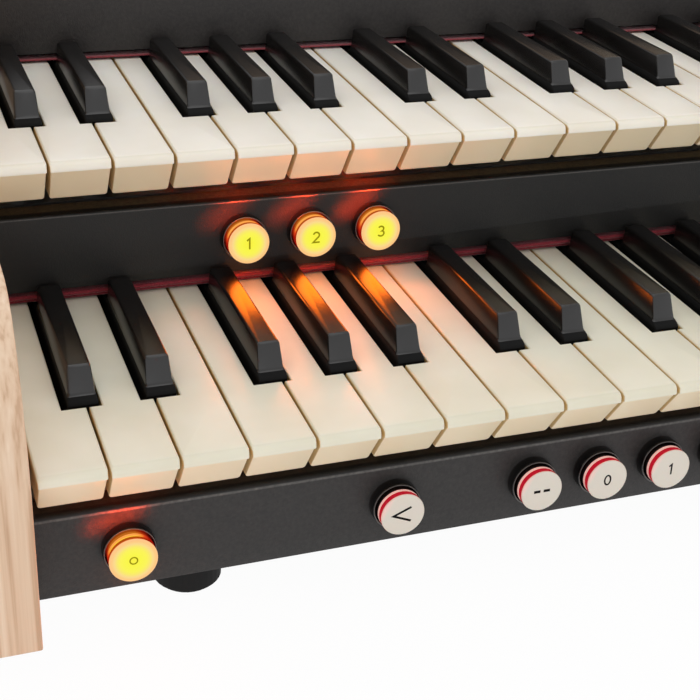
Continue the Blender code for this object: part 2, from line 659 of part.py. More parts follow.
def make_electronics():
    """The main board on its spacers and the boxed power supply, on the bottom board."""
    floor = BOARD_LEVEL + BOARD + GAP
    board = solid_box((-60 * MM, 115 * MM, floor + 8 * MM), (160 * MM, 215 * MM, floor + 9.6 * MM))
    spacers = []
    for x in (-50, 150):
        for y in (122, 208):
            spacer = cylinder(3 * MM, 8.6 * MM, steps=12)
            spacer.location = (x * MM, y * MM, floor + 4.3 * MM)
            spacer.matrix_basis = Matrix.Translation(spacer.location)
            spacers.append(spacer)
    boolean(board, make_cutter(joined(spacers), "main_board_spacers"), "UNION")
    finish(board, "main_board", CIRCUIT)
    supply = solid_box((-340 * MM, 120 * MM, floor), (-200 * MM, 205 * MM, floor + 38 * MM))
    finish(supply, "power_supply", STEEL)


make_case()
make_slip(0, "lower_slip", LOWER_PISTONS.values())
make_slip(1, "upper_slip", UPPER_PISTONS.values())
for label, x in LOWER_PISTONS.items():
    make_piston(f"lower_piston_{label}", 0, x)
for label, x in UPPER_PISTONS.items():
    make_piston(f"upper_piston_{label}", 1, x)
make_manual(0, "lower", 7)
make_manual(1, "upper", 0)
make_felt(0, "lower_felt")
make_felt(1, "upper_felt")
make_control_panel()
make_back()
make_electronics()
bpy.context.view_layer.update()
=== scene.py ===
"""Dresses the two-manual electronic organ: keys, pistons, slips, felts, oak and the studio around it."""

import json
import math

import bmesh
import bpy
from mathutils import Matrix, Vector


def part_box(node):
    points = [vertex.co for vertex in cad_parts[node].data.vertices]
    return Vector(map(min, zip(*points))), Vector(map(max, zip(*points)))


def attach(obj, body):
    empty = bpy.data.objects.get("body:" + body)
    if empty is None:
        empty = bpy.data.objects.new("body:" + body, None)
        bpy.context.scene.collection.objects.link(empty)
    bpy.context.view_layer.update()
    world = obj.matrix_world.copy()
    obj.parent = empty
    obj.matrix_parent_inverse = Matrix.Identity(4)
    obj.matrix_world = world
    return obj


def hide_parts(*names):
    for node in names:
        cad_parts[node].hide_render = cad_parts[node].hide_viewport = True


bl_info = {
    "name": "Electronic organ dresser",
    "version": (1, 0, 0),
    "blender": (4, 5, 0),
    "location": "3D View > Sidebar > Organ",
    "description": "Makes the visible pieces and finishes of a two-manual electronic organ",
    "category": "Object",
}

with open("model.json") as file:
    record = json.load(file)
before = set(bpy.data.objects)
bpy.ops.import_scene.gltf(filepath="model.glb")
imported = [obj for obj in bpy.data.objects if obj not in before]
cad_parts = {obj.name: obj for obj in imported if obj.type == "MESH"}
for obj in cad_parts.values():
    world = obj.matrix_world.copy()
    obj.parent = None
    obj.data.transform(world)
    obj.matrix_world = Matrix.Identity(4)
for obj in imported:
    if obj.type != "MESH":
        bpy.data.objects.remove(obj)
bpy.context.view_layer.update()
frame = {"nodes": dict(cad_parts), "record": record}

MM = 0.001

# Manuals, as in the solids
KEY_PITCH = 23.5 * MM
NATURALS = 36
KEY_GAP = 0.9 * MM
HEAD_LENGTH = 40.5 * MM
KEY_HEIGHT = 17.7 * MM
NATURAL_LENGTH = 214 * MM
NOTCH_WIDTH = 13.9 * MM
SHARP_WIDTH = 10.8 * MM
SHARP_SHIFT = 0.8 * MM
SHARP_FRONT = 42.2 * MM
SKIRT = 1.95 * MM
SHARP_CAP_END = 117.5 * MM
SHARP_REAR_FALL = 1.4 / 11.5
SHARP_LENGTH = 220 * MM
STICK_DEPTH = 16 * MM
PIVOT = (205 * MM, -10 * MM)
ROD_CLEARANCE = 2.4 * MM
OCTAVE_SHARPS = {0: 21.5 * MM, 1: 49.0 * MM, 3: 90.0 * MM, 4: 117.1 * MM, 5: 143.9 * MM}
NOTE_NAMES = ("c", "d", "e", "f", "g", "a", "b")
MANUAL_OFFSET = (106 * MM, 64 * MM)
LOWER_KEY_LEVEL = 76.5 * MM
NOSE_Y = -234 * MM
KEYS_LEFT = -NATURALS * KEY_PITCH / 2
SPAN = 424.7 * MM
SINGLES = (7, 0)
MANUALS = ("lower", "upper")

# Slips and pistons, as in the solids
SLIP_SETBACK = 13.2 * MM
SLIP_TOPS = (-25.7 * MM, -26.8 * MM)
SLIP_HEIGHTS = (32.7 * MM, 30.6 * MM)
SLIP_LEAN = math.radians(3.5)
SLIP_FLANGE = 11 * MM
SHEET = 1.5 * MM
FELT_GAP = 1.9 * MM
FELT_SWELL = 1.4 * MM
FOLD_RADII = (2.3 * MM, 1.2 * MM)
FOLD_SHADES = (0.5 * MM, 2.4 * MM)
PISTON_FRONT = 10 * MM
PISTON_RADIUS = 8.4 * MM
PISTON_HOLE = 8.7 * MM
PISTON_UP = (0.45 * MM, 0.05 * MM)
COLLAR_FRONT = 4.2 * MM
COLLAR_RADIUS = 9.4 * MM
LOWER_PISTONS = {
    "set": 31, "previous": 129.4, "cancel": 185.6, "0": 213.6, "1": 241.6, "2": 269.6,
    "3": 297.6, "4": 325.6, "5": 353.6, "next": 409.8,
}
UPPER_PISTONS = {"1": 100.7, "2": 128.8, "3": 156.8}
# The pistons lit from inside: the direction in degrees in which most red leaks past the collar, and how much
LIT = {
    "lower_piston_set": (108, 0.45), "upper_piston_1": (121, 1.15), "upper_piston_2": (122, 1.6),
    "upper_piston_3": (124, 2.1),
}
# A piston's outline from its face back, in mm: how far in from its edge, how deep, and the layer that starts there
PISTON_OUTLINE = (
    (8.4, 0.0, "face"), (4.2, 0.0, "face"), (0.55, 0.0, "face"), (0.2, 0.07, "face"), (0.04, 0.22, "edge"),
    (0.0, 0.4, "edge"), (0.0, 0.55, "edge"), (0.1, 0.62, "line"), (0.1, 1.0, "ring"), (0.1, 2.25, "step"),
    (0.1, 2.8, "second_ring"), (0.1, 4.1, "second_step"), (0.3, 4.2, "body"), (0.3, 5.6, "foot"),
    (0.25, 12.0, "foot"), (-1.4, 12.0, "foot"), (-1.4, 13.2, "foot"), (8.4, 13.2, "foot"),
)
# The finish of each layer of a piston, unlit and lit
LAYER_FINISHES = {
    # The unlit pistons' pink edge and rings glow a little: painted light, as no lamp is in them.
    "dark": {
        "face": "white_cap", "edge": "pink_edge", "line": "red_ring", "ring": "red_ring", "step": "red_ring",
        "second_ring": "pink_ring", "second_step": "piston_body", "body": "piston_body", "foot": "piston_body",
    },
    "lit": {
        "face": "lit_cap", "edge": "lit_cap", "line": "lit_line", "ring": "lit_ring", "step": "lit_arc",
        "second_ring": "lit_arc", "second_step": "lit_body", "body": "lit_body", "foot": "lit_foot",
    },
}
LAYER_FINISHES["set"] = {**LAYER_FINISHES["lit"], "step": "set_arc"}
# The light in a lit piston shows through its side in steps, from the end of the arc to its middle; the arc's
# brightening towards its middle at the upper left is a painted highlight.
LIT_LAYERS = {
    "lit_line": ((0.3, "#7A1008"), (0.6, "#D8421A"), (1.0, "#D8602C")),
    "lit_ring": ((0.3, "#9A0E08"), (0.6, "#B03008"), (0.85, "#B44C0A"), (1.0, "#B04C0C")),
    "lit_arc": ((0.35, "#A01408"), (0.55, "#DC401C"), (0.7, "#F6903C"), (0.85, "#FCA44C")),
    "set_arc": ((0.35, "#A01408"), (0.58, "#DC401C"), (0.7, "#FFA22E"), (0.85, "#FFC83A")),
    "lit_body": ((0.3, "#7A0C08"), (0.6, "#B4380E"), (0.8, "#C0661A"), (1.0, "#BC661C")),
    "lit_foot": ((0.2, "#3A0604"), (0.6, "#8A1A08"), (0.85, "#9A4210"), (1.0, "#9C4A10")),
}
# A lamp shines along its own -Z, a piston's face looks along +Z
FACE_TURN = Matrix.Rotation(math.pi, 4, "X")

# The level of each ring of a natural's surface, in mm: height, side inset, front edge, corner radius
NATURAL_LEVELS = (
    (0.0, 0.75, 3.4, 0.7), (-0.08, 0.45, 2.6, 0.8), (-0.3, 0.2, 1.6, 0.8), (-0.75, 0.04, 0.8, 0.9),
    (-1.5, 0.0, 0.3, 0.9), (-2.6, 0.0, 0.05, 0.9), (-3.42, 0.02, 0.0, 0.8), (-3.68, 0.08, 0.1, 0.7),
    (-3.76, 0.35, 0.75, 0.6), (-16.8, 0.45, 9.5, 0.5), (-17.3, 0.65, 9.8, 0.5), (-17.6, 0.95, 10.0, 0.5),
    (-17.7, 1.3, 10.3, 0.5),
)
# The same for a sharp's cap: height, half width, front edge, corner radius
SHARP_LEVELS = (
    (11.5, 3.2, 50.6, 0.5), (11.42, 3.65, 50.1, 0.7), (11.1, 4.05, 49.65, 0.9), (10.5, 4.35, 49.2, 1.0),
    (3.0, 4.85, 45.8, 1.0), (2.2, 4.95, 45.4, 1.0), (1.8, 5.1, 44.9, 0.9), (1.4, 5.25, 44.0, 0.8),
    (0.9, 5.35, 43.1, 0.7), (0.4, 5.4, 42.5, 0.7), (-0.4, 5.4, 42.2, 0.6),
)

# The case round the manuals, as in the solids
BACK_FACE = 236 * MM
TOP_FACE = 248.5 * MM
SPEAKER_PLACES = {"left": -300 * MM, "right": 300 * MM}
SPEAKER_LEVEL = 165 * MM
SPEAKER_OPENING = 44 * MM
SOCKET_PLACES = (165 * MM, 190 * MM, 215 * MM)
SOCKET_FACE = (237 * MM, 47 * MM)
SWITCH_X = -352 * MM
ROCKER = ((238.5 * MM, 60.8 * MM), (236.5 * MM, 51 * MM), (237.2 * MM, 41.2 * MM))
INLET_PINS = ((-385, 54), (-391.5, 49), (-378.5, 49))
PANEL_KNEE = (231 * MM, 101 * MM)
PANEL_HEAD = (329 * MM, 169 * MM)
SCREEN_SIZE = (200 * MM, 62 * MM)
SCREEN_TOP = 0.4 * MM
LIT_TILES = (1, 4, 6)
KNOB_X = 300 * MM
# The volume knob's outline, (radius, height over the panel) in mm
KNOB_OUTLINE = (
    (0, 15.3), (7.4, 15.3), (8.1, 16.0), (8.7, 15.9), (9.2, 15.2), (9.5, 3.0), (10.2, 2.4), (10.9, 2.0),
    (11.0, 1.6), (11.0, 0.6), (3.0, 0.6), (3.0, -9.0), (0, -9.0),
)
# A pan-head screw's outline, in mm
SCREW_OUTLINE = ((0, 1.5), (1.3, 1.42), (2.3, 1.05), (2.85, 0.45), (3.0, 0.0), (3.0, -0.3), (0, -0.3))
# Rows of copies: how many across and along, and the width and height that they cover
BACK_SCREWS = (9, 2, 800 * MM, 212 * MM)
TOP_SCREWS = (5, 2, 780 * MM, 126 * MM)
BACK_VENTS = (25, 2, 192 * MM, 34 * MM)
TOP_VENTS = (50, 2, 588 * MM, 20 * MM)
SCREEN_TILES = (8, 2, 168 * MM, 27 * MM)
# Out of the back: local +Z is the organ's +Y
BACK_TURN = Matrix.Rotation(-math.pi / 2, 4, "X")

# The photograph's camera, in degrees and millimetres
CAMERA_PLACE = (-459.67 * MM, -592.74 * MM, 320.63 * MM)
CAMERA_YAW = 21.31
CAMERA_PITCH = 28.73
CAMERA_ROLL = -3.41
CAMERA_LENS = 69.08


def linear(colour):
    """An sRGB colour written as hex, as the linear values that shaders take."""
    values = [int(colour[i:i + 2], 16) / 255 for i in (1, 3, 5)]
    return (*(v / 12.92 if v <= 0.04045 else ((v + 0.055) / 1.055) ** 2.4 for v in values), 1.0)


def add_node(owner, kind, settings=None, links=None):
    """Adds one node: settings fill its properties and inputs, links join its inputs to other outputs."""
    tree = owner if isinstance(owner, bpy.types.NodeTree) else owner.node_tree
    node = tree.nodes.new(kind)
    for name, value in (settings or {}).items():
        if isinstance(name, int) or name in node.inputs:
            node.inputs[name].default_value = value
        else:
            setattr(node, name, value)
    for name, source in (links or {}).items():
        tree.links.new(source, node.inputs[name])
    return node


def make_finish(name, colour, roughness, settings=None):
    """A Principled material in one colour, with its shader."""
    material = bpy.data.materials.new(name)
    material.use_nodes = True
    shader = material.node_tree.nodes["Principled BSDF"]
    shader.inputs["Base Color"].default_value = linear(colour)
    shader.inputs["Roughness"].default_value = roughness
    for socket, value in (settings or {}).items():
        shader.inputs[socket].default_value = value
    return material, shader


def colour_ramp(material, source, stops):
    """A ramp from places to hex colours, fed by a value. Returns its colour."""
    ramp = add_node(material, "ShaderNodeValToRGB", links={"Fac": source})
    band = ramp.color_ramp
    while len(band.elements) < len(stops):
        band.elements.new(1.0)
    for element, (place, colour) in zip(band.elements, stops):
        element.position = place
        element.color = linear(colour)
    return ramp.outputs["Color"]


def paint(material, shader, socket, source):
    """Links an output to one of the shader's inputs."""
    material.node_tree.links.new(source, shader.inputs[socket])


def surface_bump(material, shader, height, distance, strength):
    """Feeds a height into the shader's normal."""
    bump = add_node(material, "ShaderNodeBump", {"Strength": strength, "Distance": distance}, {"Height": height})
    paint(material, shader, "Normal", bump.outputs["Normal"])


def object_noise(material, scale, detail, stretch=(1, 1, 1)):
    """A noise on the piece's own coordinates, in metres."""
    place = add_node(material, "ShaderNodeTexCoord")
    mapping = add_node(material, "ShaderNodeMapping", {"Scale": stretch}, {"Vector": place.outputs["Object"]})
    noise = add_node(
        material, "ShaderNodeTexNoise", {"Scale": scale, "Detail": detail}, {"Vector": mapping.outputs["Vector"]}
    )
    return noise.outputs["Fac"]


def ivory_plastic(name, dark, light, front, lip_painted_shade):
    """Moulded urea plastic: warm cream and faintly cloudy, with painted light and shade: downward faces painted
    yellower and sides tan for warm bounced light, and the rounding of the lip painted darker.
    """
    material, shader = make_finish(name, light, 0.36, {
        "Subsurface Weight": 0.12, "Subsurface Radius": (0.9, 0.6, 0.3), "Subsurface Scale": 0.0015,
    })
    cloud = colour_ramp(material, object_noise(material, 30.0, 3.0), ((0.3, dark), (0.7, light)))
    place = add_node(material, "ShaderNodeTexCoord")
    axes = add_node(material, "ShaderNodeSeparateXYZ", links={"Vector": place.outputs["Normal"]})
    side = add_node(material, "ShaderNodeMath", {"operation": "ABSOLUTE"}, {0: axes.outputs["X"]})
    # Painted light: faces turned sideways are mixed towards tan for the warm light bounced between neighbouring keys.
    beside = add_node(
        material, "ShaderNodeMapRange", {"From Min": 0.8, "From Max": 0.99}, {"Value": side.outputs["Value"]}
    )
    # Painted light: faces turned downwards are mixed towards yellow, by the share given as front, for the warm light
    # bounced up onto them.
    below = add_node(
        material, "ShaderNodeMapRange", {"From Min": -0.2, "From Max": -0.5, "To Max": front},
        {"Value": axes.outputs["Z"]},
    )
    painted_bounce_yellow = add_node(
        material, "ShaderNodeMixRGB", {"Color2": linear("#F2DCB4")}, {"Fac": below.outputs["Result"], "Color1": cloud}
    )
    mixed = add_node(
        material, "ShaderNodeMixRGB", {"Color2": linear("#C9A766")},
        {"Fac": beside.outputs["Result"], "Color1": painted_bounce_yellow.outputs["Color"]},
    )
    # Painted shade: faces between level and upright, the rounding of the lip, are multiplied darker, by the share given
    # as the last argument.
    edges = colour_ramp(material, axes.outputs["Z"], (
        (0.0, "#FFFFFF"), (0.2, "#F9F8F5"), (0.55, "#F5F3EF"), (0.85, "#EFEDE7"), (0.96, "#EBE9E3"),
        (1.0, "#FFFFFF"),
    ))
    lip_shaded = add_node(
        material, "ShaderNodeMixRGB", {"blend_type": "MULTIPLY", "Fac": lip_painted_shade},
        {"Color1": mixed.outputs["Color"], "Color2": edges},
    )
    paint(material, shader, "Base Color", lip_shaded.outputs["Color"])
    grain = object_noise(material, 1.0, 2.0, (900.0, 60.0, 900.0))
    surface_bump(material, shader, grain, 0.00006, 0.2)
    return material


def black_key_plastic():
    """Satin black ABS: it mirrors the cream keys beside it, and its front face is painted greyer, a painted reflection
    of the light in front.
    """
    material, shader = make_finish("black_satin_abs", "#0C0A09", 0.26, {"Specular IOR Level": 0.62})
    place = add_node(material, "ShaderNodeTexCoord")
    axes = add_node(material, "ShaderNodeSeparateXYZ", links={"Vector": place.outputs["Normal"]})
    # Painted reflection: faces turned to the front get a greyer base.
    front = add_node(
        material, "ShaderNodeMapRange", {"From Min": -0.8, "From Max": -0.89}, {"Value": axes.outputs["Y"]}
    )
    tone = colour_ramp(material, front.outputs["Result"], ((0.0, "#0C0A09"), (1.0, "#171617")))
    paint(material, shader, "Base Color", tone)
    grain = object_noise(material, 2600.0, 2.0)
    surface_bump(material, shader, grain, 0.00008, 0.25)
    return material


def black_powder_coat(name, tones):
    """Powder-coated steel: charcoal with fine pimples; on a slip its zones carry painted light and shade: a flange
    painted lighter brown and a fold top painted near black, both in the shade under the keys, and a paler line along
    the fold, a painted highlight.
    """
    material, shader = make_finish(name, tones[2], 0.52)
    grain = object_noise(material, 1600.0, 2.0)
    surface_bump(material, shader, grain, 0.00025, 0.45)
    fold = add_node(material, "ShaderNodeAttribute", {"attribute_name": "fold"})
    # Painted light and shade: the tones picked by the fold attribute are flange, fold top, face and highlight line, in
    # that order.
    zones = colour_ramp(material, fold.outputs["Fac"], tuple(zip((0.0, 0.25, 0.5, 1.0), tones)))
    speckle = colour_ramp(material, object_noise(material, 700.0, 3.0), ((0.3, "#B4B4B4"), (0.75, "#FFFFFF")))
    mixed = add_node(
        material, "ShaderNodeMixRGB", {"blend_type": "MULTIPLY", "Fac": 1.0}, {"Color1": zones, "Color2": speckle}
    )
    paint(material, shader, "Base Color", mixed.outputs["Color"])
    return material


def collar_plastic():
    """Black moulded collar, glossy black at its lip, and painted greyer where it leaves the slip, a painted reflection
    of the slip.
    """
    material, shader = make_finish("black_collar_abs", "#0A0909", 0.3)
    rise = add_node(material, "ShaderNodeAttribute", {"attribute_name": "rise"})
    # Painted reflection: greyer towards the slip, darkest at the lip.
    tone = colour_ramp(material, rise.outputs["Fac"], ((0.1, "#1C1817"), (0.4, "#090707"), (0.9, "#050404")))
    paint(material, shader, "Base Color", tone)
    return material


def lacquered_oak(name, grain, slow_grain):
    """Pale oak under satin lacquer: long fine streaks over a slow change of tone, with open pores."""
    material, shader = make_finish(name, "#DDC3AA", 0.48)
    streak = object_noise(material, 1.0, 6.0, grain)
    tone = object_noise(material, 1.0, 2.0, slow_grain)
    fine = colour_ramp(material, streak, ((0.33, "#B58C6A"), (0.45, "#D6B698"), (0.55, "#E0C4A8"), (0.75, "#EFD9C2")))
    slow = colour_ramp(material, tone, ((0.3, "#D2AE90"), (0.7, "#E9D0B6")))
    mixed = add_node(material, "ShaderNodeMixRGB", {"Fac": 0.4}, {"Color1": fine, "Color2": slow})
    paint(material, shader, "Base Color", mixed.outputs["Color"])
    surface_bump(material, shader, streak, 0.0003, 0.3)
    return material


def crimson_felt():
    """Woven crimson felt ribbon: deep, dull and fibrous."""
    material, shader = make_finish("crimson_felt", "#7A1A30", 0.95, {"Sheen Weight": 0.4, "Sheen Roughness": 0.4})
    fibre = object_noise(material, 1.0, 4.0, (1500.0, 3500.0, 3500.0))
    paint(material, shader, "Base Color", colour_ramp(material, fibre, ((0.3, "#4E0F18"), (0.7, "#AE3442"))))
    surface_bump(material, shader, fibre, 0.0004, 0.8)
    return material


def plain_finishes():
    """Finishes that need no pattern, by name."""
    table = {
        "black_moulded_rubber": ("#0C0B0B", 0.75, {"Specular IOR Level": 0.3}),
        "zinc_plated_steel": ("#B9BABB", 0.35, {"Metallic": 1.0}),
        "green_solder_mask": ("#12492B", 0.4, {}),
        "screen_glass": ("#08090B", 0.06, {}),
        # Painted shade: a darker, duller copy of the black for the foot of the sharps, which stands in shade.
        "dull_black": ("#040404", 0.75, {"Specular IOR Level": 0.2}),
        "piston_body": ("#140806", 0.3, {}),
        # Painted highlight: a pale grey for the thin front edge of the collars, where light glints.
        "collar_rim": ("#6A6563", 0.3, {}),
        # Painted light: the pink edge and the two rings of an unlit piston are given a faint glow, though no lamp is in
        # them.
        "pink_edge": ("#F4BDB6", 0.28, {"Emission Color": linear("#F0A8A0"), "Emission Strength": 0.12}),
        "pink_ring": ("#FFD8CE", 0.3, {"Emission Color": linear("#FFB0A8"), "Emission Strength": 0.3}),
        "red_ring": ("#CC1830", 0.22, {"Emission Color": linear("#C81428"), "Emission Strength": 0.25}),
        "black_print": ("#0A0605", 0.6, {"Specular IOR Level": 0.1}),
        "olive_print": ("#040400", 0.9, {
            "Specular IOR Level": 0.0, "Emission Color": linear("#958C0C"), "Emission Strength": 1.0,
        }),
        "speaker_cone_paper": ("#1B1B1C", 0.85, {}),
        "white_print": ("#E4E2DC", 0.6, {"Specular IOR Level": 0.2}),
        "screen_tile_cream": ("#CFC7B0", 0.3, {"Emission Color": linear("#CFC7B0"), "Emission Strength": 0.5}),
        "screen_tile_amber": ("#D9962E", 0.3, {"Emission Color": linear("#D9962E"), "Emission Strength": 0.8}),
    }
    return {name: make_finish(name, *values)[0] for name, values in table.items()}


def face_vector(material):
    """The place on a piston's face, from its middle: 0.5 long at the rim."""
    place = add_node(material, "ShaderNodeUVMap", {"uv_map": "face"})
    centred = add_node(material, "ShaderNodeVectorMath", {"operation": "SUBTRACT"}, {0: place.outputs["UV"]})
    centred.inputs[1].default_value = (0.5, 0.5, 0.0)
    return centred.outputs["Vector"]


def along(material, vector, degrees):
    """How far a place on the face lies in a direction: 1 at the rim."""
    product = add_node(material, "ShaderNodeVectorMath", {"operation": "DOT_PRODUCT"}, {0: vector})
    angle = math.radians(degrees)
    product.inputs[1].default_value = (2 * math.cos(angle), 2 * math.sin(angle), 0.0)
    return product.outputs["Value"]


def white_cap():
    """Milky moulded plastic: warm white, with the red of its ring shining into its upper left edge."""
    material, shader = make_finish("white_milky_plastic", "#DCD4C8", 0.28, {
        "Subsurface Weight": 0.1, "Subsurface Scale": 0.001,
    })
    upper = along(material, face_vector(material), 150)
    paint(material, shader, "Base Color", colour_ramp(material, upper, ((0.72, "#DCD4C8"), (1.0, "#F6CCC4"))))
    return material


def lit_cap():
    """Milky plastic lit from behind: yellow in the middle, peach at the rim."""
    material, shader = make_finish("lit_milky_plastic", "#140E08", 0.4, {"Specular IOR Level": 0.15})
    length = add_node(material, "ShaderNodeVectorMath", {"operation": "LENGTH"}, {0: face_vector(material)})
    glow = colour_ramp(material, length.outputs["Value"], (
        (0.0, "#F9F03C"), (0.15, "#F8F546"), (0.27, "#F9F254"), (0.33, "#F8E868"), (0.4, "#F9D78C"),
        (0.45, "#FCC880"), (0.5, "#FDC488"),
    ))
    paint(material, shader, "Emission Color", glow)
    shader.inputs["Emission Strength"].default_value = 1.0
    return material


def lit_layer(name, stops):
    """A translucent ring with the piston's light coming through it: the light is real, its brightening towards the
    upper left a painted highlight.
    """
    material, shader = make_finish(name, "#0A0201", 0.4, {"Specular IOR Level": 0.0})
    paint(material, shader, "Emission Color", colour_ramp(material, along(material, face_vector(material), 112), stops))
    shader.inputs["Emission Strength"].default_value = 1.0
    return material


def body_of(node):
    """The body that a CAD node rides on."""
    return next(body for body, nodes in frame["record"]["behaviour"]["bodies"].items() if node in nodes)


def place_piece(name, mesh, materials, body, replaced=()):
    """Puts a finished mesh in the scene as a piece of its body."""
    piece = bpy.data.objects.new(name, mesh)
    mesh.name = name
    bpy.context.scene.collection.objects.link(piece)
    for material in materials:
        mesh.materials.append(material)
    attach(piece, body)
    for node in replaced:
        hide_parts(node)
    return piece


def mesh_from(shape, name="shape"):
    """A mesh from a bmesh, with doubles merged and its faces turned outwards."""
    bmesh.ops.remove_doubles(shape, verts=shape.verts, dist=1e-6)
    bmesh.ops.dissolve_degenerate(shape, dist=1e-6, edges=shape.edges)
    bmesh.ops.recalc_face_normals(shape, faces=shape.faces)
    mesh = bpy.data.meshes.new(name)
    shape.to_mesh(mesh)
    shape.free()
    return mesh


def smooth(mesh, degrees=40):
    """Smooth shading with the edges sharper than the angle kept."""
    mesh.shade_smooth()
    mesh.set_sharp_from_angle(angle=math.radians(degrees))
    return mesh


def evaluated(mesh, modifiers):
    """The mesh after some modifiers: each is a kind and its settings."""
    obj = bpy.data.objects.new("work", mesh)
    bpy.context.scene.collection.objects.link(obj)
    for kind, settings in modifiers:
        modifier = obj.modifiers.new(kind, kind)
        for name, value in settings.items():
            setattr(modifier, name, value)
    bpy.context.view_layer.update()
    done = bpy.data.meshes.new_from_object(obj.evaluated_get(bpy.context.evaluated_depsgraph_get()))
    bpy.data.objects.remove(obj, do_unlink=True)
    return done


def boolean(mesh, other, operation):
    """The mesh after an exact Boolean with another one."""
    helper = bpy.data.objects.new("helper", other)
    bpy.context.scene.collection.objects.link(helper)
    done = evaluated(mesh, [("BOOLEAN", {"operation": operation, "object": helper, "solver": "EXACT"})])
    bpy.data.objects.remove(helper, do_unlink=True)
    return done


def make_tree(name, sockets):
    """A Geometry Nodes tree with named inputs, and what they give."""
    tree = bpy.data.node_groups.new(name, "GeometryNodeTree")
    tree.interface.new_socket("Geometry", in_out="OUTPUT", socket_type="NodeSocketGeometry")
    for label, kind in (("Geometry", "Geometry"), *sockets.items(), ("Finish", "Material")):
        tree.interface.new_socket(label, in_out="INPUT", socket_type="NodeSocket" + kind)
    return tree, add_node(tree, "NodeGroupInput").outputs


def end_tree(tree, given, links):
    """Puts the piece on its places, makes the copies real and gives them their finish."""
    copies = add_node(tree, "GeometryNodeInstanceOnPoints", links={"Instance": given["Geometry"], **links})
    real = add_node(tree, "GeometryNodeRealizeInstances", links={"Geometry": copies.outputs["Instances"]})
    dressed = add_node(
        tree, "GeometryNodeSetMaterial", links={"Geometry": real.outputs["Geometry"], "Material": given["Finish"]}
    )
    add_node(tree, "NodeGroupOutput", links={"Geometry": dressed.outputs["Geometry"]})
    return tree


def rows_tree():
    """Copies in columns and rows, such as screws and slots, each turned by chance up to an angle."""
    tree, given = make_tree("rows_of_copies", {
        "Columns": "Int", "Rows": "Int", "Width": "Float", "Height": "Float", "Turn": "Float", "Seed": "Int",
    })
    grid = add_node(tree, "GeometryNodeMeshGrid", links={
        "Size X": given["Width"], "Size Y": given["Height"], "Vertices X": given["Columns"],
        "Vertices Y": given["Rows"],
    })
    chance = add_node(
        tree, "FunctionNodeRandomValue", {"data_type": "FLOAT", 2: 0.0}, {3: given["Turn"], 8: given["Seed"]}
    )
    turn = add_node(tree, "ShaderNodeCombineXYZ", links={"Z": chance.outputs[1]})
    return end_tree(tree, given, {"Points": grid.outputs["Mesh"], "Rotation": turn.outputs["Vector"]})


def ring_tree():
    """Copies round the Z axis, a step apart, such as the ribs of a knob and the marks round it."""
    tree, given = make_tree("ring_of_copies", {"Count": "Int", "Start": "Float", "Step": "Float"})
    line = add_node(tree, "GeometryNodeMeshLine", {"Offset": (0, 0, 0)}, {"Count": given["Count"]})
    index = add_node(tree, "GeometryNodeInputIndex")
    angle = add_node(
        tree, "ShaderNodeMath", {"operation": "MULTIPLY_ADD"},
        {0: index.outputs["Index"], 1: given["Step"], 2: given["Start"]},
    )
    turn = add_node(tree, "ShaderNodeCombineXYZ", links={"Z": angle.outputs["Value"]})
    return end_tree(tree, given, {"Points": line.outputs["Mesh"], "Rotation": turn.outputs["Vector"]})


def slats_tree():
    """Bars side by side, each as long as a circle is wide at its place, as in a speaker grille."""
    tree, given = make_tree("slats_in_a_circle", {"Count": "Int", "First": "Vector", "Last": "Vector", "Radius": "Float"})
    line = add_node(
        tree, "GeometryNodeMeshLine", {"mode": "END_POINTS"},
        {"Count": given["Count"], "Start Location": given["First"], "Offset": given["Last"]},
    )
    place = add_node(tree, "GeometryNodeInputPosition")
    axes = add_node(tree, "ShaderNodeSeparateXYZ", links={"Vector": place.outputs["Position"]})
    squares = [
        add_node(tree, "ShaderNodeMath", {"operation": "MULTIPLY"}, {0: source, 1: source}).outputs["Value"]
        for source in (given["Radius"], axes.outputs["Y"])
    ]
    rest = add_node(tree, "ShaderNodeMath", {"operation": "SUBTRACT"}, {0: squares[0], 1: squares[1]})
    half = add_node(tree, "ShaderNodeMath", {"operation": "SQRT"}, {0: rest.outputs["Value"]})
    size = add_node(tree, "ShaderNodeCombineXYZ", {"Y": 1.0, "Z": 1.0}, {"X": half.outputs["Value"]})
    return end_tree(tree, given, {"Points": line.outputs["Mesh"], "Scale": size.outputs["Vector"]})


def grown(mesh, tree, values, matrix):
    """The mesh after a Geometry Nodes tree whose inputs are set by their identifiers, put in its place."""
    obj = bpy.data.objects.new("work", mesh)
    modifier = obj.modifiers.new(tree.name, "NODES")
    modifier.node_group = tree
    identifiers = {item.name: item.identifier for item in tree.interface.items_tree if item.in_out == "INPUT"}
    for name, value in values.items():
        modifier[identifiers[name]] = value
    bpy.context.scene.collection.objects.link(obj)
    bpy.context.view_layer.update()
    done = bpy.data.meshes.new_from_object(obj.evaluated_get(bpy.context.evaluated_depsgraph_get()))
    obj.modifiers.remove(modifier)
    bpy.data.objects.remove(obj, do_unlink=True)
    done.transform(matrix)
    return done


def in_rows(mesh, layout, finish, matrix, turn=0.0, seed=0):
    """Copies of a mesh in columns and rows on a plane."""
    columns, rows, width, height = layout
    return grown(mesh, rows_tree(), {
        "Columns": columns, "Rows": rows, "Width": width, "Height": height, "Turn": turn, "Seed": seed,
        "Finish": finish,
    }, matrix)


def add_box(shape, low, high):
    """Adds a box between two corners."""
    size = Vector(high) - Vector(low)
    matrix = Matrix.Translation((Vector(low) + Vector(high)) / 2) @ Matrix.Diagonal((*size, 1))
    bmesh.ops.create_cube(shape, size=1, matrix=matrix)


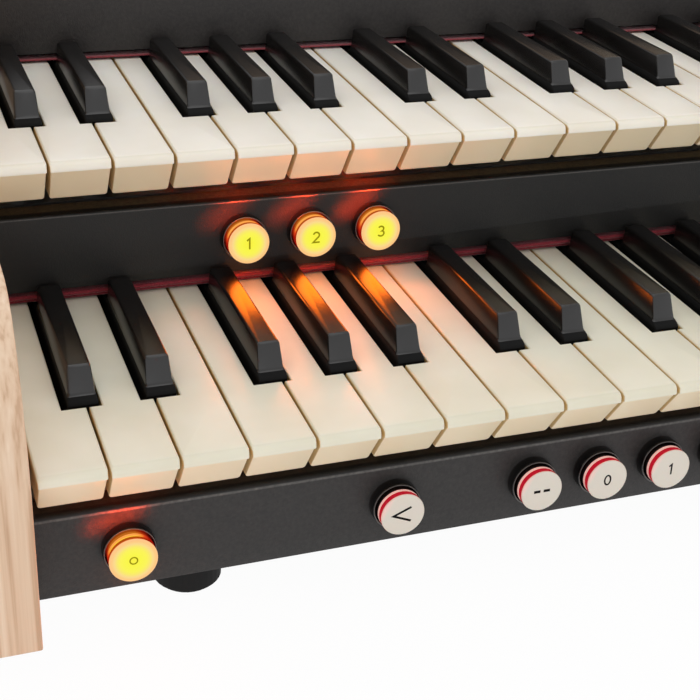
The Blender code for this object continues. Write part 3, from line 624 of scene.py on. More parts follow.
def add_stack(shape, rings):
    """Adds a closed body from rings of points, top to bottom, each with the same number of points."""
    layers = [[shape.verts.new(point) for point in ring] for ring in rings]
    count = len(layers[0])
    for upper, lower in zip(layers, layers[1:]):
        for i in range(count):
            shape.faces.new((upper[i], upper[(i + 1) % count], lower[(i + 1) % count], lower[i]))
    shape.faces.new(layers[0])
    shape.faces.new(list(reversed(layers[-1])))


def add_turned(shape, profile, matrix, steps, materials=None):
    """Adds a turned body from (radius, height) points, axis +Z, closed where the radius is 0."""
    rings = []
    for radius, height in profile:
        if radius == 0:
            rings.append([shape.verts.new(matrix @ Vector((0, 0, height)))])
            continue
        angles = [2 * math.pi * step / steps for step in range(steps)]
        rings.append([
            shape.verts.new(matrix @ Vector((radius * math.cos(a), radius * math.sin(a), height))) for a in angles
        ])
    for number, (first, second) in enumerate(zip(rings, rings[1:])):
        for i in range(steps):
            j = (i + 1) % steps
            corners = [first[i % len(first)], first[j % len(first)], second[j % len(second)], second[i % len(second)]]
            face = shape.faces.new(list(dict.fromkeys(corners)))
            face.material_index = materials[number] if materials else 0


def corner(centre, radius, start):
    """Three points round a corner, clockwise from the angle start, in degrees."""
    return [
        (centre[0] + radius * math.cos(math.radians(a)), centre[1] + radius * math.sin(math.radians(a)))
        for a in (start, start - 45, start - 90)
    ]


def plate(half_x, half_y, radius, low, high):
    """A plate with rounded corners between two heights."""
    signs = ((-1, -1, 270), (-1, 1, 180), (1, 1, 90), (1, -1, 0))
    outline = [
        point for x, y, start in signs
        for point in corner((x * (half_x - radius), y * (half_y - radius)), radius, start)
    ]
    shape = bmesh.new()
    add_stack(shape, [[(x, y, z) for x, y in outline] for z in (high, low)])
    return mesh_from(shape)


def turned_mesh(outline, steps):
    """A turned body from (radius, height) points in mm."""
    shape = bmesh.new()
    add_turned(shape, [(radius * MM, height * MM) for radius, height in outline], Matrix(), steps)
    return mesh_from(shape)


def key_origin(manual):
    """The left end of a manual's front lip at the level of its naturals, as (y, z)."""
    return NOSE_Y + manual * MANUAL_OFFSET[0], LOWER_KEY_LEVEL + manual * MANUAL_OFFSET[1]


def natural_edges(index):
    """A natural's left and right edges at its head, and along its tail."""
    octave, step = divmod(index, 7)
    left = index * KEY_PITCH
    head = (left + KEY_GAP / 2, left + KEY_PITCH - KEY_GAP / 2)
    start = octave * 7 * KEY_PITCH
    tail = list(head)
    if step - 1 in OCTAVE_SHARPS and index > 0:
        tail[0] = start + OCTAVE_SHARPS[step - 1] + NOTCH_WIDTH / 2
    if step in OCTAVE_SHARPS and index < NATURALS - 1:
        tail[1] = start + OCTAVE_SHARPS[step] - NOTCH_WIDTH / 2
    return head, tuple(tail)


def add_natural(shape, index, origin):
    """Adds one natural: the rings of its surface follow the head, the notches and the tail."""
    head, tail = natural_edges(index)
    rings = []
    for height, inset, front, radius in NATURAL_LEVELS:
        inset, front, radius = inset * MM, front * MM, radius * MM
        left, right = head[0] + inset, head[1] - inset
        ring = corner((left + radius, front + radius), radius, 270)
        ring += [(left, HEAD_LENGTH - inset)]
        if tail[0] != head[0]:
            ring.append((tail[0] + inset, HEAD_LENGTH - inset))
        ring += [(tail[0] + inset, NATURAL_LENGTH), (tail[1] - inset, NATURAL_LENGTH)]
        if tail[1] != head[1]:
            ring.append((tail[1] - inset, HEAD_LENGTH - inset))
        ring.append((right, HEAD_LENGTH - inset))
        ring += corner((right - radius, front + radius), radius, 0)
        rings.append([(KEYS_LEFT + x, origin[0] + y, origin[1] + height * MM) for x, y in ring])
    add_stack(shape, rings)


def sharp_place(octave, step):
    """The middle of a sharp, across the organ."""
    return KEYS_LEFT + octave * 7 * KEY_PITCH + OCTAVE_SHARPS[step] + SHARP_SHIFT


def add_sharp(shape, octave, step, origin):
    """Adds one sharp: its cap over the stick that reaches back to the spine."""
    centre = sharp_place(octave, step)
    rings = []
    for height, half, front, radius in SHARP_LEVELS:
        half, front, radius = half * MM, front * MM, radius * MM
        rear = SHARP_CAP_END - (0.6 * MM if height > 11 else 0)
        ring = corner((radius - half, front + radius), radius, 270)
        ring += [(-half, rear), (half, rear)]
        ring += corner((half - radius, front + radius), radius, 0)
        points = []
        for x, y in ring:
            behind = (y - front) / (SHARP_CAP_END - front)
            fall = max(height, 0) * SHARP_REAR_FALL * behind
            points.append((centre + x, origin[0] + y, origin[1] + (height - fall) * MM))
        rings.append(points)
    for height in (-0.5 * MM, -STICK_DEPTH):
        half, radius, front = SHARP_WIDTH / 2, 0.5 * MM, SHARP_FRONT + 0.1 * MM
        ring = corner((radius - half, front + radius), radius, 270)
        ring += [(-half, SHARP_LENGTH), (half, SHARP_LENGTH)]
        ring += corner((half - radius, front + radius), radius, 0)
        rings.append([(centre + x, origin[0] + y, origin[1] + height) for x, y in ring])
    add_stack(shape, rings)


def rod_cutter(origin, sharps):
    """What a key leaves open over its pivot rod and, on a sharp, over the naturals' spine."""
    shape = bmesh.new()
    y, z = origin[0] + PIVOT[0], origin[1] + PIVOT[1]
    rear = origin[0] + NATURAL_LENGTH + 0.6 * MM if sharps else y + ROD_CLEARANCE
    bottom = origin[1] - 25 * MM
    if sharps:
        add_box(shape, (-SPAN, y, bottom), (SPAN, rear, origin[1] - 8.9 * MM))
        helper = bmesh.new()
        add_box(helper, (-SPAN, y - ROD_CLEARANCE, bottom - MM), (SPAN, y + ROD_CLEARANCE, z + ROD_CLEARANCE))
        return boolean(mesh_from(shape), mesh_from(helper), "UNION")
    add_box(shape, (-SPAN, y - ROD_CLEARANCE, bottom), (SPAN, rear, z + ROD_CLEARANCE))
    return mesh_from(shape)


def make_key(name, keys, origin, materials, sharps, spine=None):
    """Makes the piece of one key, or of the keys of a comb and their spine."""
    shape = bmesh.new()
    for key in keys:
        if sharps:
            add_sharp(shape, *key, origin)
        else:
            add_natural(shape, key, origin)
    mesh = mesh_from(shape)
    if spine:
        rail = bmesh.new()
        add_box(rail, *spine)
        mesh = boolean(mesh, mesh_from(rail), "UNION")
    mesh = smooth(boolean(mesh, rod_cutter(origin, sharps), "DIFFERENCE"), 32)
    # A sharp's skirt takes the second finish, the darker black painted for the shade at its foot.
    for face in mesh.polygons:
        face.material_index = int(sharps and face.center.z < origin[1] + SKIRT)
    place_piece(name + "_moulding", mesh, materials, name, [name])


def make_manual(manual, ivory, black):
    """Makes every key of one manual."""
    name, singles, origin = MANUALS[manual], SINGLES[manual], key_origin(manual)
    for index in range(singles):
        note = f"{name}_key_{NOTE_NAMES[index]}"
        make_key(note, [index], origin, ivory, False)
        if index in OCTAVE_SHARPS:
            make_key(note + "_sharp", [(0, index)], origin, black, True)
    left = KEYS_LEFT + natural_edges(singles)[1][0] + 2 * MM
    right = KEYS_LEFT + natural_edges(NATURALS - 1)[1][1] - 2 * MM
    rear = origin[0] + NATURAL_LENGTH
    spine = (
        (left, rear - 5.2 * MM, origin[1] - KEY_HEIGHT + 0.4 * MM), (right, rear - 0.6 * MM, origin[1] - 9.6 * MM),
    )
    make_key(f"{name}_naturals", range(singles, NATURALS), origin, ivory, False, spine)
    places = [(octave, step) for octave in range(5) for step in OCTAVE_SHARPS if octave * 7 + step >= singles]
    spine = (
        (sharp_place(*places[0]), rear + 1 * MM, origin[1] - STICK_DEPTH + 0.3 * MM),
        (sharp_place(*places[-1]), rear + 5.6 * MM, origin[1] - 0.9 * MM),
    )
    make_key(f"{name}_sharps", places, origin, black, True, spine)


def slip_foot(manual):
    """The bottom front edge of a slip, as (y, z)."""
    y, z = key_origin(manual)
    return y + SLIP_SETBACK, z + SLIP_TOPS[manual] - SLIP_HEIGHTS[manual]


def piston_matrix(manual, x):
    """Where a piston's axis meets the slip: local +Z points out of the face, local +Y up along it."""
    outward = Vector((0, -math.cos(SLIP_LEAN), math.sin(SLIP_LEAN)))
    upward = Vector((0, math.sin(SLIP_LEAN), math.cos(SLIP_LEAN)))
    centre = Vector((0, *slip_foot(manual))) + upward * (SLIP_HEIGHTS[manual] / 2 + PISTON_UP[manual])
    turn = Matrix((Vector((1, 0, 0)), upward, outward)).transposed().to_4x4()
    return Matrix.Translation((KEYS_LEFT + x * MM, centre.y, centre.z)) @ turn


def add_strip(shape, outline, low=-SPAN, high=SPAN):
    """Adds a body with a (y, z) outline from low to high across the organ."""
    ends = [[shape.verts.new((x, y, z)) for y, z in outline] for x in (low, high)]
    count = len(outline)
    for i in range(count):
        shape.faces.new((ends[0][i], ends[0][(i + 1) % count], ends[1][(i + 1) % count], ends[1][i]))
    for end in ends:
        shape.faces.new(end)


def slip_outline(manual):
    """The folded steel strip: a leaning face, a rolled top edge and a tight fold at the bottom."""
    foot = Vector(slip_foot(manual))
    lean = Vector((math.sin(SLIP_LEAN), math.cos(SLIP_LEAN)))
    head = foot + lean * SLIP_HEIGHTS[manual]
    outer = [foot + Vector((SLIP_FLANGE, 0)), foot + Vector((0.7 * MM, 0)), foot + Vector((0.2 * MM, 0.2 * MM))]
    outer.append(foot + lean * 0.7 * MM)
    bend = FOLD_RADII[manual]
    outer.append(head - lean * (bend + 0.6 * MM))
    centre = Vector((head.x + bend - 0.1 * MM, head.y - bend))
    for step in range(9):
        angle = math.pi - SLIP_LEAN - (math.pi / 2 - SLIP_LEAN) * step / 8
        outer.append(centre + Vector((math.cos(angle), math.sin(angle))) * bend)
    for reach in (FOLD_SHADES[manual], FOLD_SHADES[manual] + 0.8 * MM):
        outer.append(Vector((head.x + bend + reach, head.y)))
    outer.append(Vector((head.x + SLIP_FLANGE, head.y)))
    inner = [
        Vector((head.x + SLIP_FLANGE, head.y - SHEET)), head + Vector((SHEET, -SHEET)),
        foot + Vector((SHEET + 0.1 * MM, SHEET)), foot + Vector((SLIP_FLANGE, SHEET)),
    ]
    return [tuple(point) for point in outer + inner]


def make_slip(manual, finishes, places):
    """Makes a slip with its holes, and the black collar round each piston, with a pale painted highlight on its rim."""
    name = MANUALS[manual] + "_slip"
    shape = bmesh.new()
    add_strip(shape, slip_outline(manual))
    holes = bmesh.new()
    collars = bmesh.new()
    front, outer, inner = COLLAR_FRONT, COLLAR_RADIUS, PISTON_HOLE
    profile = [
        (inner, -SHEET), (inner, front - 0.3 * MM), (inner + 0.08 * MM, front - 0.06 * MM),
        (inner + 0.22 * MM, front), (inner + 0.42 * MM, front - 0.02 * MM), (outer - 0.12 * MM, front - 0.2 * MM),
        (outer, front - 0.6 * MM), (outer, 2.4 * MM), (outer, 1.2 * MM), (outer, 0.1 * MM),
        (outer - 0.2 * MM, 0.05 * MM), (inner, -SHEET),
    ]
    # The faces on the collar's front edge take the second finish, a pale painted highlight.
    rim = [0, 0, 1, 1, 0, 0, 0, 0, 0, 0, 0]
    for x in places:
        matrix = piston_matrix(manual, x)
        bmesh.ops.create_cone(
            holes, cap_ends=True, segments=48, radius1=PISTON_HOLE, radius2=PISTON_HOLE, depth=12 * MM, matrix=matrix
        )
        add_turned(collars, profile, matrix, 64, rim)
    mesh = boolean(mesh_from(shape), mesh_from(holes), "DIFFERENCE")
    add_fold(mesh, manual)
    place_piece(name + "_folding", smooth(mesh, 30), [finishes[name]], "case", [name])
    mesh = smooth(mesh_from(collars), 35)
    add_rise(mesh, piston_matrix(manual, 0), COLLAR_FRONT)
    parts = [finishes["collar"], finishes["collar_rim"]]
    place_piece(MANUALS[manual] + "_collars", mesh, parts, "case")


def add_fold(mesh, manual):
    """Marks a slip's flange with 0, the top of its fold with 0.25, its face with 0.5 and the painted highlight line
    along the fold with 1, for the painted light and shade of the coat.
    """
    fold = mesh.attributes.new("fold", "FLOAT", "POINT")
    y, z = slip_foot(manual)
    y += math.sin(SLIP_LEAN) * SLIP_HEIGHTS[manual] + FOLD_RADII[manual] + FOLD_SHADES[manual] + 0.4 * MM
    z += math.cos(SLIP_LEAN) * SLIP_HEIGHTS[manual]
    for vert in mesh.vertices:
        below = (z - vert.co.z) / FOLD_RADII[manual]
        tone = next(tone for limit, tone in ((0.5, 0.25), (0.9, 1), (100, 0.5)) if below < limit)
        fold.data[vert.index].value = 0 if vert.co.y > y and below < 0.5 else tone


def add_rise(mesh, matrix, height):
    """How far each point of the collars stands out of the slip, from 0 at the slip to 1 at the rim."""
    rise = mesh.attributes.new("rise", "FLOAT", "POINT")
    back = matrix.inverted()
    for vert in mesh.vertices:
        rise.data[vert.index].value = min(max((back @ vert.co).z / height, 0), 1)


def add_uv(mesh, matrix, radius):
    """A UV map over the piston's face: its middle at (0.5, 0.5), its rim at 0.5 from there."""
    layer = mesh.uv_layers.new(name="face")
    back = matrix.inverted()
    for loop in mesh.loops:
        local = back @ mesh.vertices[loop.vertex_index].co
        layer.data[loop.index].uv = (0.5 + local.x / radius / 2, 0.5 + local.y / radius / 2)


def arc(centre, radii, start, end, steps=14):
    """Points along an ellipse from one angle to another, in degrees."""
    angles = [math.radians(start + (end - start) * step / steps) for step in range(steps + 1)]
    return [(centre[0] + radii[0] * math.cos(a), centre[1] + radii[1] * math.sin(a)) for a in angles]


def mark_lines(label):
    """The printed mark of a piston, as lines in mm with their width, and whether they close."""
    if label == "set":
        return [(arc((0, 0), (1.3, 1.3), 0, 345, 23), 0.5, True)]
    if label == "cancel":
        return [([(side * 0.65, 0), (side * 3.35, 0)], 1.15, False) for side in (-1, 1)]
    if label in ("previous", "next"):
        side = -1 if label == "previous" else 1
        return [([(-side * 3.1, 2.85), (side * 3.75, 0), (-side * 3.1, -2.95)], 0.9, False)]
    shapes = {
        "0": arc((0, 0), (1.25, 2.0), 0, 345, 23),
        "1": [(-0.95, 1.35), (0.2, 2.2), (0.2, -2.3)],
        "2": arc((0, 0.95), (1.25, 1.2), 165, -35) + [(-1.35, -2.1), (1.45, -2.1)],
        "3": arc((-0.05, 1.05), (1.15, 1.05), 150, -75) + arc((-0.05, -0.95), (1.35, 1.15), 70, -150),
        "4": [(0.65, -2.3), (0.65, 2.1), (-1.5, -0.9), (1.5, -0.9)],
        "5": [(1.15, 2.1), (-0.85, 2.1), (-1.05, 0.3)] + arc((0, -0.8), (1.35, 1.3), 125, -150),
    }
    return [(shapes[label], 0.7, label == "0")]


def add_ribbon(shape, points, width, closed, matrix):
    """Adds a ribbon of print along a line on the piston's face, with mitred corners."""
    line = [Vector(point) for point in points]
    rims = []
    for i, here in enumerate(line):
        before = line[i - 1] if closed or i > 0 else here
        after = line[(i + 1) % len(line)] if closed or i < len(line) - 1 else here
        ways = [(b - a).normalized() for a, b in ((before, here), (here, after)) if (b - a).length > 0]
        way = sum(ways, Vector((0, 0))).normalized()
        across = Vector((-way.y, way.x)) * width / 2 / max(way.dot(ways[0]), 0.4)
        rims.append([
            shape.verts.new(matrix @ Vector((place.x * MM, place.y * MM, PISTON_FRONT + height)))
            for place, height in (
                (here + across, 0.02 * MM), (here - across, 0.02 * MM), (here - across, -0.02 * MM),
                (here + across, -0.02 * MM),
            )
        ])
    pairs = list(zip(rims, rims[1:]))
    if closed:
        pairs.append((rims[-1], rims[0]))
    for first, second in pairs:
        for i in range(4):
            j = (i + 1) % 4
            shape.faces.new((first[i], first[j], second[j], second[i]))
    if not closed:
        shape.faces.new(rims[0])
        shape.faces.new(rims[-1])


def make_piston(manual, label, x, finishes):
    """Makes one piston: its cap, the two rings under it, the body in the collar, and the mark."""
    node = f"{MANUALS[manual]}_piston_{label}"
    state = "set" if label == "set" else "lit" if node in LIT else "dark"
    matrix = piston_matrix(manual, x)
    profile = [(PISTON_RADIUS - inset * MM, PISTON_FRONT - deep * MM) for inset, deep, _ in PISTON_OUTLINE]
    profile[0] = (0, PISTON_FRONT)
    profile[-1] = (0, profile[-1][1])
    layers = [layer for _, _, layer in PISTON_OUTLINE]
    names = [LAYER_FINISHES[state][layer] for layer in layers]
    used = list(dict.fromkeys(names))
    shape = bmesh.new()
    add_turned(shape, profile, matrix, 72, [used.index(name) for name in names])
    mesh = smooth(mesh_from(shape), 50)
    add_uv(mesh, matrix, PISTON_RADIUS)
    place_piece(node + "_cap", mesh, [finishes[name] for name in used], node, [node])
    shape = bmesh.new()
    for points, width, closed in mark_lines(label):
        add_ribbon(shape, points, width, closed, matrix)
    ink = finishes["olive_print" if node in LIT else "black_print"]
    place_piece(node + "_mark", mesh_from(shape), [ink], node)


def make_felt(manual, felt):
    """Makes the ribbed felt strip between the naturals and the sheet above them."""
    node = MANUALS[manual] + "_felt"
    low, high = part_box(node)
    low.y -= FELT_SWELL
    shape = bmesh.new()
    ribs = 2
    top = high[2] - FELT_GAP
    outline = [(high[1], low[2]), (high[1], top)]
    height = (top - low[2]) / ribs
    for rib in reversed(range(ribs)):
        middle = low[2] + (rib + 0.5) * height
        for step in range(7):
            angle = math.pi / 2 - math.pi * step / 6
            front = low[1] + 1.8 * MM * (ribs - 1 - rib)
            outline.append((front + 0.7 * MM * (1 - math.sin(math.pi * step / 6)), middle + math.sin(angle) * height * 0.46))
    add_strip(shape, outline)
    place_piece(node + "_ribbon", smooth(mesh_from(shape), 60), [felt], "case", [node])


def soften(node, material, width, segments, cutter=None, degrees=25):
    """Replaces a CAD node by a copy with its edges rounded, and slots cut in it."""
    shape = bmesh.new()
    shape.from_mesh(bpy.data.objects[node].data)
    bmesh.ops.remove_doubles(shape, verts=shape.verts, dist=1e-5)
    bmesh.ops.dissolve_limit(shape, angle_limit=0.01, verts=shape.verts, edges=shape.edges)
    mesh = bpy.data.meshes.new(node)
    shape.to_mesh(mesh)
    shape.free()
    mesh = evaluated(mesh, [("BEVEL", {
        "width": width, "segments": segments, "limit_method": "ANGLE", "angle_limit": math.radians(degrees),
        "harden_normals": False,
    })])
    if cutter:
        mesh = boolean(mesh, cutter, "DIFFERENCE")
    place_piece(node + "_finished", smooth(mesh, 45), [material], body_of(node), [node])


def screw():
    """A pan-head screw with a cross slot."""
    shape = bmesh.new()
    for x, y in ((2.0, 0.3), (0.3, 2.0)):
        add_box(shape, (-x * MM, -y * MM, 0.6 * MM), (x * MM, y * MM, 2 * MM))
    arms = mesh_from(shape)
    return boolean(turned_mesh(SCREW_OUTLINE, 16), arms, "DIFFERENCE")


def make_shell(finishes):
    """Softens the back panel and the top cover, with their vent slots and screws."""
    back = Matrix.Translation((0, BACK_FACE, 148 * MM)) @ BACK_TURN
    top = Matrix.Translation((0, 207 * MM, TOP_FACE))
    slot = in_rows(plate(1.5 * MM, 12 * MM, 1.5 * MM, -8 * MM, 8 * MM), BACK_VENTS, None, back)
    soften("back_panel", finishes["steel"], 0.5 * MM, 2, slot)
    slot = in_rows(plate(1.6 * MM, 7 * MM, 1.6 * MM, -8 * MM, 8 * MM), TOP_VENTS, None, top)
    soften("top_cover", finishes["steel"], 0.8 * MM, 3, slot)
    back = Matrix.Translation((0, BACK_FACE, 130 * MM)) @ BACK_TURN
    top = Matrix.Translation((0, 166.5 * MM, TOP_FACE))
    for name, layout, matrix, seed in (("back_screws", BACK_SCREWS, back, 3), ("top_screws", TOP_SCREWS, top, 7)):
        mesh = in_rows(screw(), layout, finishes["zinc_plated_steel"], matrix, math.pi, seed)
        place_piece(name, smooth(mesh, 30), [], "case")


def make_grille(side, finishes):
    """Makes a speaker's grille: a ring in the opening, its slats and four screws round it."""
    matrix = Matrix.Translation((SPEAKER_PLACES[side], BACK_FACE - 2 * MM, SPEAKER_LEVEL)) @ BACK_TURN
    ring = turned_mesh(((41.6, -1.5), (41.6, 1.2), (42.2, 1.8), (43.7, 1.8), (43.7, -1.5), (41.6, -1.5)), 96)
    ring.transform(matrix)
    place_piece(f"{side}_grille_ring", smooth(ring, 30), [finishes["black_key"]], "case")
    bar = bmesh.new()
    add_box(bar, (-1, -1 * MM, -1.4 * MM), (1, 1 * MM, 1.2 * MM))
    slats = grown(mesh_from(bar), slats_tree(), {
        "Count": 15, "First": (0, -37 * MM, 0), "Last": (0, 37 * MM, 0), "Radius": 42 * MM,
        "Finish": finishes["black_key"],
    }, matrix)
    place_piece(f"{side}_grille_slats", slats, [], "case")
    head = screw()
    head.transform(Matrix.Translation((50 * MM, 0, 2 * MM)))
    screws = grown(head, ring_tree(), {
        "Count": 4, "Start": math.pi / 4, "Step": math.pi / 2, "Finish": finishes["zinc_plated_steel"],
    }, matrix)
    place_piece(f"{side}_grille_screws", smooth(screws, 30), [], "case")


def make_sockets(finishes):
    """Makes the pins of the inlet, the rings of the audio sockets and the marks on the rocker."""
    shape = bmesh.new()
    for x, z in INLET_PINS:
        add_box(shape, ((x - 1) * MM, 223.5 * MM, (z - 2) * MM), ((x + 1) * MM, 233 * MM, (z + 2) * MM))
    pins = evaluated(mesh_from(shape), [("BEVEL", {"width": 0.4 * MM, "segments": 2})])
    place_piece("power_inlet_pins", smooth(pins, 40), [finishes["zinc_plated_steel"]], "case")
    shape = bmesh.new()
    outline = ((1.75, -0.1), (1.75, 1.3), (2.2, 1.6), (3.2, 1.6), (3.8, 1.0), (3.8, -0.1), (1.75, -0.1))
    for x in SOCKET_PLACES:
        place = Matrix.Translation((x, *SOCKET_FACE)) @ BACK_TURN
        add_turned(shape, [(radius * MM, height * MM) for radius, height in outline], place, 32)
    place_piece("audio_socket_rings", smooth(mesh_from(shape), 30), [finishes["zinc_plated_steel"]], "case")
    shape = bmesh.new()
    marks = (([(0, 1.7), (0, -1.7)], 0.7, False), (arc((0, 0), (1.5, 1.5), 0, 345, 23), 0.5, True))
    for (high, low), (points, width, closed) in zip(((ROCKER[0], ROCKER[1]), (ROCKER[1], ROCKER[2])), marks):
        upward = Vector((0, high[0] - low[0], high[1] - low[1])).normalized()
        turn = Matrix((Vector((-1, 0, 0)), upward, Vector((0, upward.z, -upward.y)))).transposed().to_4x4()
        place = Matrix.Translation((SWITCH_X, (high[0] + low[0]) / 2, (high[1] + low[1]) / 2)) @ turn
        add_ribbon(shape, points, width, closed, place @ Matrix.Translation((0, 0, -PISTON_FRONT)))
    place_piece("power_switch_marks", mesh_from(shape), [finishes["white_print"]], "power_switch")


def panel_matrix(x):
    """The middle of the control panel's slope: local +Z points out of it, local +Y up along it."""
    knee, head = Vector(PANEL_KNEE), Vector(PANEL_HEAD)
    middle = (knee + head) / 2
    slope = (head - knee).normalized()
    turn = Matrix((Vector((1, 0, 0)), Vector((0, *slope)), Vector((0, -slope.y, slope.x)))).transposed().to_4x4()
    return Matrix.Translation((x, NOSE_Y + middle.x, LOWER_KEY_LEVEL + middle.y)) @ turn


def make_display(finishes):
    """Makes the screen's bezel and the tiles shown on it."""
    matrix = panel_matrix(0)
    half_x, half_y = SCREEN_SIZE[0] / 2, SCREEN_SIZE[1] / 2
    outer = plate(half_x + 4 * MM, half_y + 4 * MM, 3 * MM, 0, 1.2 * MM)
    inner = plate(half_x - 1 * MM, half_y - 1 * MM, 1.5 * MM, -MM, 3 * MM)
    bezel = evaluated(boolean(outer, inner, "DIFFERENCE"), [("BEVEL", {"width": 0.3 * MM, "segments": 2})])
    bezel.transform(matrix)
    place_piece("screen_bezel", smooth(bezel, 40), [finishes["black_key"]], "case")
    tile = plate(10.5 * MM, 12 * MM, 1.5 * MM, SCREEN_TOP, SCREEN_TOP + 0.08 * MM)
    tiles = in_rows(tile, SCREEN_TILES, finishes["screen_tile_cream"], matrix)
    place_piece("screen_tiles", tiles, [], "case")
    shape = bmesh.new()
    for column in LIT_TILES:
        x = (column - (SCREEN_TILES[0] - 1) / 2) * SCREEN_TILES[2] / (SCREEN_TILES[0] - 1)
        low = (x - 9 * MM, SCREEN_TILES[3] / 2 + 6 * MM, SCREEN_TOP + 0.06 * MM)
        add_box(shape, low, (x + 9 * MM, SCREEN_TILES[3] / 2 + 10.5 * MM, SCREEN_TOP + 0.14 * MM))
    bars = mesh_from(shape)
    bars.transform(matrix)
    place_piece("screen_lit_bars", bars, [finishes["screen_tile_amber"]], "case")


def make_knob(finishes):
    """Makes the volume knob with its ribbed grip and pointer, and the marks round it."""
    matrix = panel_matrix(KNOB_X)
    knob = turned_mesh(KNOB_OUTLINE, 72)
    knob.transform(matrix)
    place_piece(
        "volume_knob_turning", smooth(knob, 35), [finishes["black_key"]], "volume_knob", ["volume_knob"]
    )
    rib = plate(0.5 * MM, 0.32 * MM, 0.3 * MM, 2.3 * MM, 14.6 * MM)
    rib.transform(Matrix.Translation((9.5 * MM, 0, 0)))
    ribs = grown(rib, ring_tree(), {
        "Count": 36, "Start": 0.0, "Step": math.radians(10), "Finish": finishes["black_key"],
    }, matrix)
    place_piece("volume_knob_ribs", ribs, [], "volume_knob")
    pointer = plate(0.5 * MM, 3 * MM, 0.3 * MM, 15.2 * MM, 15.4 * MM)
    pointer.transform(matrix @ Matrix.Translation((0, 4 * MM, 0)))
    place_piece("volume_knob_pointer", pointer, [finishes["white_print"]], "volume_knob")
    mark = plate(0.3 * MM, 1.2 * MM, 0.15 * MM, 0, 0.03 * MM)
    mark.transform(Matrix.Translation((0, 14.5 * MM, 0)))
    marks = grown(mark, ring_tree(), {
        "Count": 11, "Start": math.radians(135), "Step": math.radians(-27), "Finish": finishes["white_print"],
    }, matrix)
    place_piece("volume_marks", marks, [], "case")


def give(node, material):
    """Gives a CAD node its finish."""
    obj = bpy.data.objects[node]
    obj.data.materials.clear()
    obj.data.materials.append(material)


FINISHES = {}


class OrganSettings(bpy.types.PropertyGroup):
    """What a user would change: the lights."""

    key_power: bpy.props.FloatProperty(
        name="Key light", description="Power of the soft light over the manuals", default=1.0, min=0.0, unit="POWER"
    )
    front_power: bpy.props.FloatProperty(
        name="Front light", description="Power of the low light in front", default=2.7, min=0.0, unit="POWER"
    )
    fill: bpy.props.FloatProperty(
        name="Fill", description="Strength of the even light from all round", default=0.86, min=0.0
    )
    glow: bpy.props.FloatProperty(
        name="Piston glow", description="Power of the amber light that each lit piston sends forward",
        default=0.014, min=0.0, unit="POWER"
    )
    leak: bpy.props.FloatProperty(
        name="Red leak", description="Power of the red light that leaks past each lit piston's collar",
        default=0.018, min=0.0, unit="POWER"
    )


class ORGAN_OT_finishes(bpy.types.Operator):
    """Make every material and give the solids their finish"""

    bl_idname = "organ.finishes"
    bl_label = "Finishes"

    def execute(self, context):
        FINISHES.update(plain_finishes())
        FINISHES.update({
            # Painted light and shade: the lower manual's ivory is a darker copy and the upper's a lighter one, for the
            # light that falls more on the upper manual; they also take different shares of painted bounce light and lip
            # shade.
            "lower_ivory": ivory_plastic("lower_ivory_plastic", "#E0DBC7", "#E9E5D4", 0.62, 0.6),
            "upper_ivory": ivory_plastic("upper_ivory_plastic", "#F0EADE", "#F7F3EA", 0.75, 1.0),
            "black_key": black_key_plastic(),
            "oak": lacquered_oak("lacquered_oak", (500.0, 320.0, 7.0), (30.0, 22.0, 2.0)),
            "oak_lengthwise": lacquered_oak("lacquered_oak_lengthwise", (7.0, 320.0, 500.0), (2.0, 22.0, 30.0)),
            "steel": black_powder_coat("black_powder_coated_steel", ("#2C2827",) * 4),
            # Painted light and shade: each slip's tones are flange, fold top, face and highlight line; the upper slip's
            # face is painted darker for the shade it stands in.
            "lower_slip": black_powder_coat("lower_slip_powder_coat", ("#3E3126", "#0A0806", "#2A2726", "#605E5C")),
            "upper_slip": black_powder_coat("upper_slip_powder_coat", ("#66563F", "#0A0806", "#0F0D0C", "#4E4A47")),
            "collar": collar_plastic(), "felt": crimson_felt(), "white_cap": white_cap(), "lit_cap": lit_cap(),
        })
        FINISHES.update({name: lit_layer(name + "_plastic", stops) for name, stops in LIT_LAYERS.items()})
        rules = (
            (("frame", "rod", "power_supply"), "zinc_plated_steel"), (("speaker",), "speaker_cone_paper"),
            (("foot", "power_inlet", "audio_sockets"), "black_moulded_rubber"),
            (("contact_board", "main_board"), "green_solder_mask"), (("display_screen",), "screen_glass"),
            (("knob", "switch"), "black_key"), (("",), "steel"),
        )
        for node in frame["nodes"]:
            give(node, FINISHES[next(finish for words, finish in rules if any(word in node for word in words))])
        return {"FINISHED"}


class ORGAN_OT_keys(bpy.types.Operator):
    """Make the keys of both manuals"""

    bl_idname = "organ.keys"
    bl_label = "Keys"

    def execute(self, context):
        for manual in (0, 1):
            make_manual(manual, [FINISHES[MANUALS[manual] + "_ivory"]], [FINISHES["black_key"], FINISHES["dull_black"]])
        return {"FINISHED"}


class ORGAN_OT_slips(bpy.types.Operator):
    """Make the slips, their collars and the felt strips"""

    bl_idname = "organ.slips"
    bl_label = "Slips and felts"

    def execute(self, context):
        for manual, places in enumerate((LOWER_PISTONS, UPPER_PISTONS)):
            make_slip(manual, FINISHES, places.values())
            make_felt(manual, FINISHES["felt"])
        return {"FINISHED"}


class ORGAN_OT_pistons(bpy.types.Operator):
    """Make the pistons with their rings and marks"""

    bl_idname = "organ.pistons"
    bl_label = "Pistons"

    def execute(self, context):
        for manual, places in enumerate((LOWER_PISTONS, UPPER_PISTONS)):
            for label, x in places.items():
                make_piston(manual, label, x, FINISHES)
        return {"FINISHED"}


